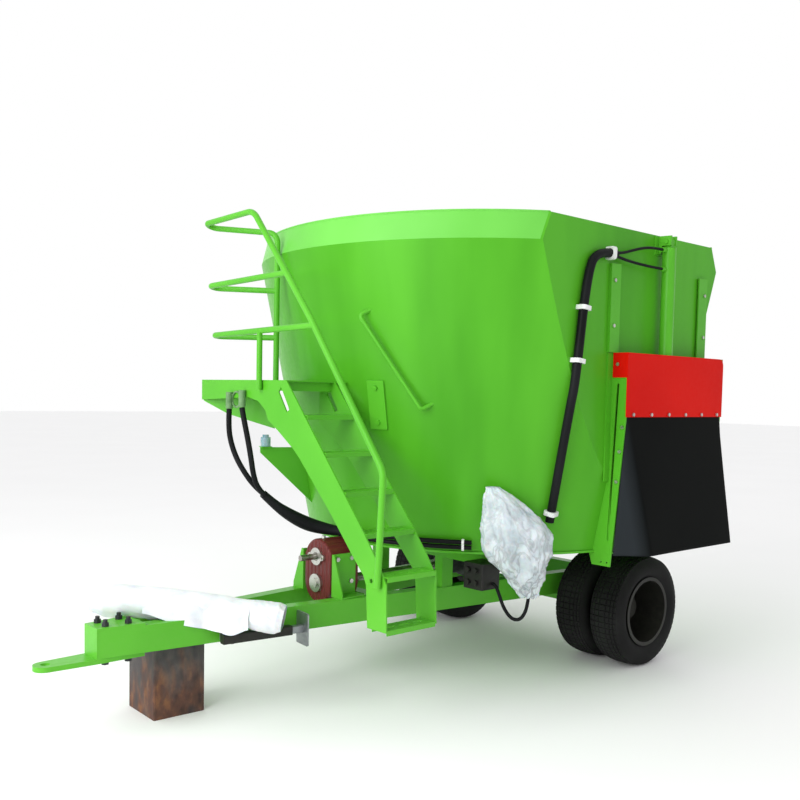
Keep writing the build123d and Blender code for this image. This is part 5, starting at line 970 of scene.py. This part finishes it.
def sack_form(u, v):
    """Place of a point of the sack, once round the valve and then down from the neck."""
    z, off, shift, wide, deep = between(SACK_ROWS, v)
    turn = 2 * math.pi * u + math.pi
    ring = Vector((math.cos(turn), math.sin(turn), 0))
    spot = (ring.x * deep * MM, ring.y * wide * MM, z * MM)
    pleats = wave(ring * 1.4 + Vector((0, 0, 0.9 * v)), 2.4, 5.0)
    puff = SACK_PLEATS * pleats + (SACK_CRUMPLES + SACK_BUNCHING * v) * crumpled(spot)
    inward = ring.x < 0
    radial = ring.x * (deep / 2 * 0.97 if inward else deep / 2 + puff)
    along = ring.y * (wide / 2 + (0.3 if inward else 0.8) * puff)
    hem = SACK_HEM * wave(ring, 3.0, 9.0) * max(0.0, (v - 0.86) / 0.14)
    r = tub_radius(z) + off + radial
    s = shift + along
    x = r * math.cos(SACK_TURN) - s * math.sin(SACK_TURN)
    y = r * math.sin(SACK_TURN) + s * math.cos(SACK_TURN)
    return at(x, y, z + hem)


sack = soft_sheet("valve_sack", 150, 150, sack_form, sack_film)
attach(sack, "chassis")
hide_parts("valve_bag")
print("sack made")

# %% [markdown]
# ## Tyres
#
# A tyre is moulded in a round mould, so its section is turned about the axle in one spin. The tread could be
# bumps in the finish, but it shows against the light at the rim of the wheel, so it is pressed out of the
# crown: every crown face is drawn in a little and raised, which leaves a block with grooves round it.

# %% Section of a tyre
AXLE_X = 502
TYRE_R = 356
AXLE_Z = TYRE_R
TYRE_W = 232
TYRE_BEAD = 205.4
TREAD = 9
TYRE_STEPS = 60
HALF = TYRE_W / 2
TYRE_SECTION = (
    (HALF - 58, TYRE_BEAD),
    (HALF - 34, TYRE_BEAD),
    (HALF - 24, TYRE_BEAD + 20),
    (HALF - 8, TYRE_BEAD + 42),
    (HALF, TYRE_R - 88),
    (HALF - 3, TYRE_R - 62),
    (HALF - 10, TYRE_R - 40),
    (HALF - 22, TYRE_R - 20),
    (HALF - 40, TYRE_R - 6 - TREAD),
    (HALF - 62, TYRE_R - 2 - TREAD),
    (24, TYRE_R - TREAD),
)
CROWN = TYRE_R - 24
GROOVE = 5
print("tyre", 2 * TYRE_R, "mm across and", TYRE_W, "mm wide")

# %% Turned tyres with tread blocks


def crown_face(from_axle):
    """Whether a face lies on the tread, by its place from the middle of the tyre."""
    return math.hypot(from_axle.x, from_axle.z) > CROWN * MM


def tyre(name, middle, wheels, node):
    """One tyre, turned round the axle at a distance along it."""
    section = [*TYRE_SECTION, *((-x, r) for x, r in reversed(TYRE_SECTION))]
    rubber_mesh = bmesh.new()
    axle = at(AXLE_X, middle, AXLE_Z)
    ring = [rubber_mesh.verts.new(at(AXLE_X, middle + x, AXLE_Z + r)) for x, r in section]
    edges = [rubber_mesh.edges.new(pair) for pair in zip(ring, ring[1:] + ring[:1])]
    bmesh.ops.spin(
        rubber_mesh,
        geom=ring + edges,
        cent=axle,
        axis=(0, 1, 0),
        angle=2 * math.pi,
        steps=TYRE_STEPS,
        use_merge=True,
    )
    bmesh.ops.remove_doubles(rubber_mesh, verts=rubber_mesh.verts, dist=0.0001)
    bmesh.ops.recalc_face_normals(rubber_mesh, faces=rubber_mesh.faces)
    crown = [f for f in rubber_mesh.faces if crown_face(f.calc_center_median() - axle)]
    bmesh.ops.inset_individual(rubber_mesh, faces=crown, thickness=GROOVE * MM, depth=TREAD * 0.8 * MM)
    for face in rubber_mesh.faces:
        face.smooth = not crown_face(face.calc_center_median() - axle)
    mesh = bpy.data.meshes.new(name)
    rubber_mesh.to_mesh(mesh)
    rubber_mesh.free()
    mesh.materials.append(tyre_rubber)
    made = bpy.data.objects.new(name, mesh)
    bpy.context.collection.objects.link(made)
    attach(made, wheels)
    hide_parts(node)


WHEEL_PLACES = (543, 819)
for start in WHEEL_PLACES:
    tyre("left_tyre_" + str(start), -(start + HALF), "left_wheels", "left_tyres")
    tyre("right_tyre_" + str(start), start + HALF, "right_wheels", "right_tyres")
print("four tyres made")

# %% [markdown]
# ## Floor and light
#
# The photograph shows the wagon cut out on white, lit by a high sun from the drawbar side with much sky.
# A pale floor stands for the ground. It belongs to the stage and not to the wagon.

# %% Floor
FLOOR_HALF = 60
floor_mesh = bmesh.new()
bmesh.ops.create_grid(floor_mesh, x_segments=1, y_segments=1, size=FLOOR_HALF)
mesh = bpy.data.meshes.new("floor")
floor_mesh.to_mesh(mesh)
floor_mesh.free()
floor = bpy.data.objects.new("floor", mesh)
bpy.context.collection.objects.link(floor)
floor_finish, tree, shader, where = new_finish("pale_floor", 0.9)
tree.links.new(
    tones(tree, grain(tree, where, 0.6, 2.0), (0.0, colour(250, 250, 250)), (1.0, colour(254, 254, 254))),
    shader.inputs["Base Color"],
)
mesh.materials.append(floor_finish)
print("floor laid")

# %% [markdown]
# A sun lamp would draw hard shadows, so a white world and two large soft lamps give the even light: the
# faces towards the drawbar are brightest. The world is greyer on the discharge side, so that side is a
# shade deeper.

# %% World
SHADED_SKY = (0.62, 0.62, 0.64, 1.0)
OPEN_SKY = (1.0, 1.0, 1.0, 1.0)
world = bpy.data.worlds.new("studio")
world.use_nodes = True
sky = world.node_tree.nodes["Background"]
sky.inputs["Strength"].default_value = 1.0
dome = world.node_tree.nodes.new("ShaderNodeTexCoord").outputs["Generated"]
split = world.node_tree.nodes.new("ShaderNodeSeparateXYZ")
world.node_tree.links.new(dome, split.inputs["Vector"])
toward = spread(world.node_tree, split.outputs["Y"], -1.0, 0.0, 0.0, 1.0)
shades = tones(world.node_tree, toward, (0.0, SHADED_SKY), (1.0, OPEN_SKY))
world.node_tree.links.new(shades, sky.inputs["Color"])
bpy.context.scene.world = world
bpy.context.scene.view_settings.view_transform = "Standard"
print("world set")

# %% Lamps


def soft_lamp(name, place, target, size, power):
    """A large square lamp that looks at a point."""
    lamp = bpy.data.lights.new(name, "AREA")
    lamp.size = size
    lamp.energy = power
    made = bpy.data.objects.new(name, lamp)
    bpy.context.collection.objects.link(made)
    way = Vector(target) - Vector(place)
    made.matrix_world = Matrix.Translation(place) @ way.to_track_quat("-Z", "Y").to_matrix().to_4x4()
    print(name, power, "W")


soft_lamp("key_lamp", (-7.0, -1.0, 4.0), (0, 0, 1.3), 6.0, 420)
soft_lamp("fill_lamp", (-1.0, -8.0, 5.0), (0, 0, 1.2), 5.0, 20)
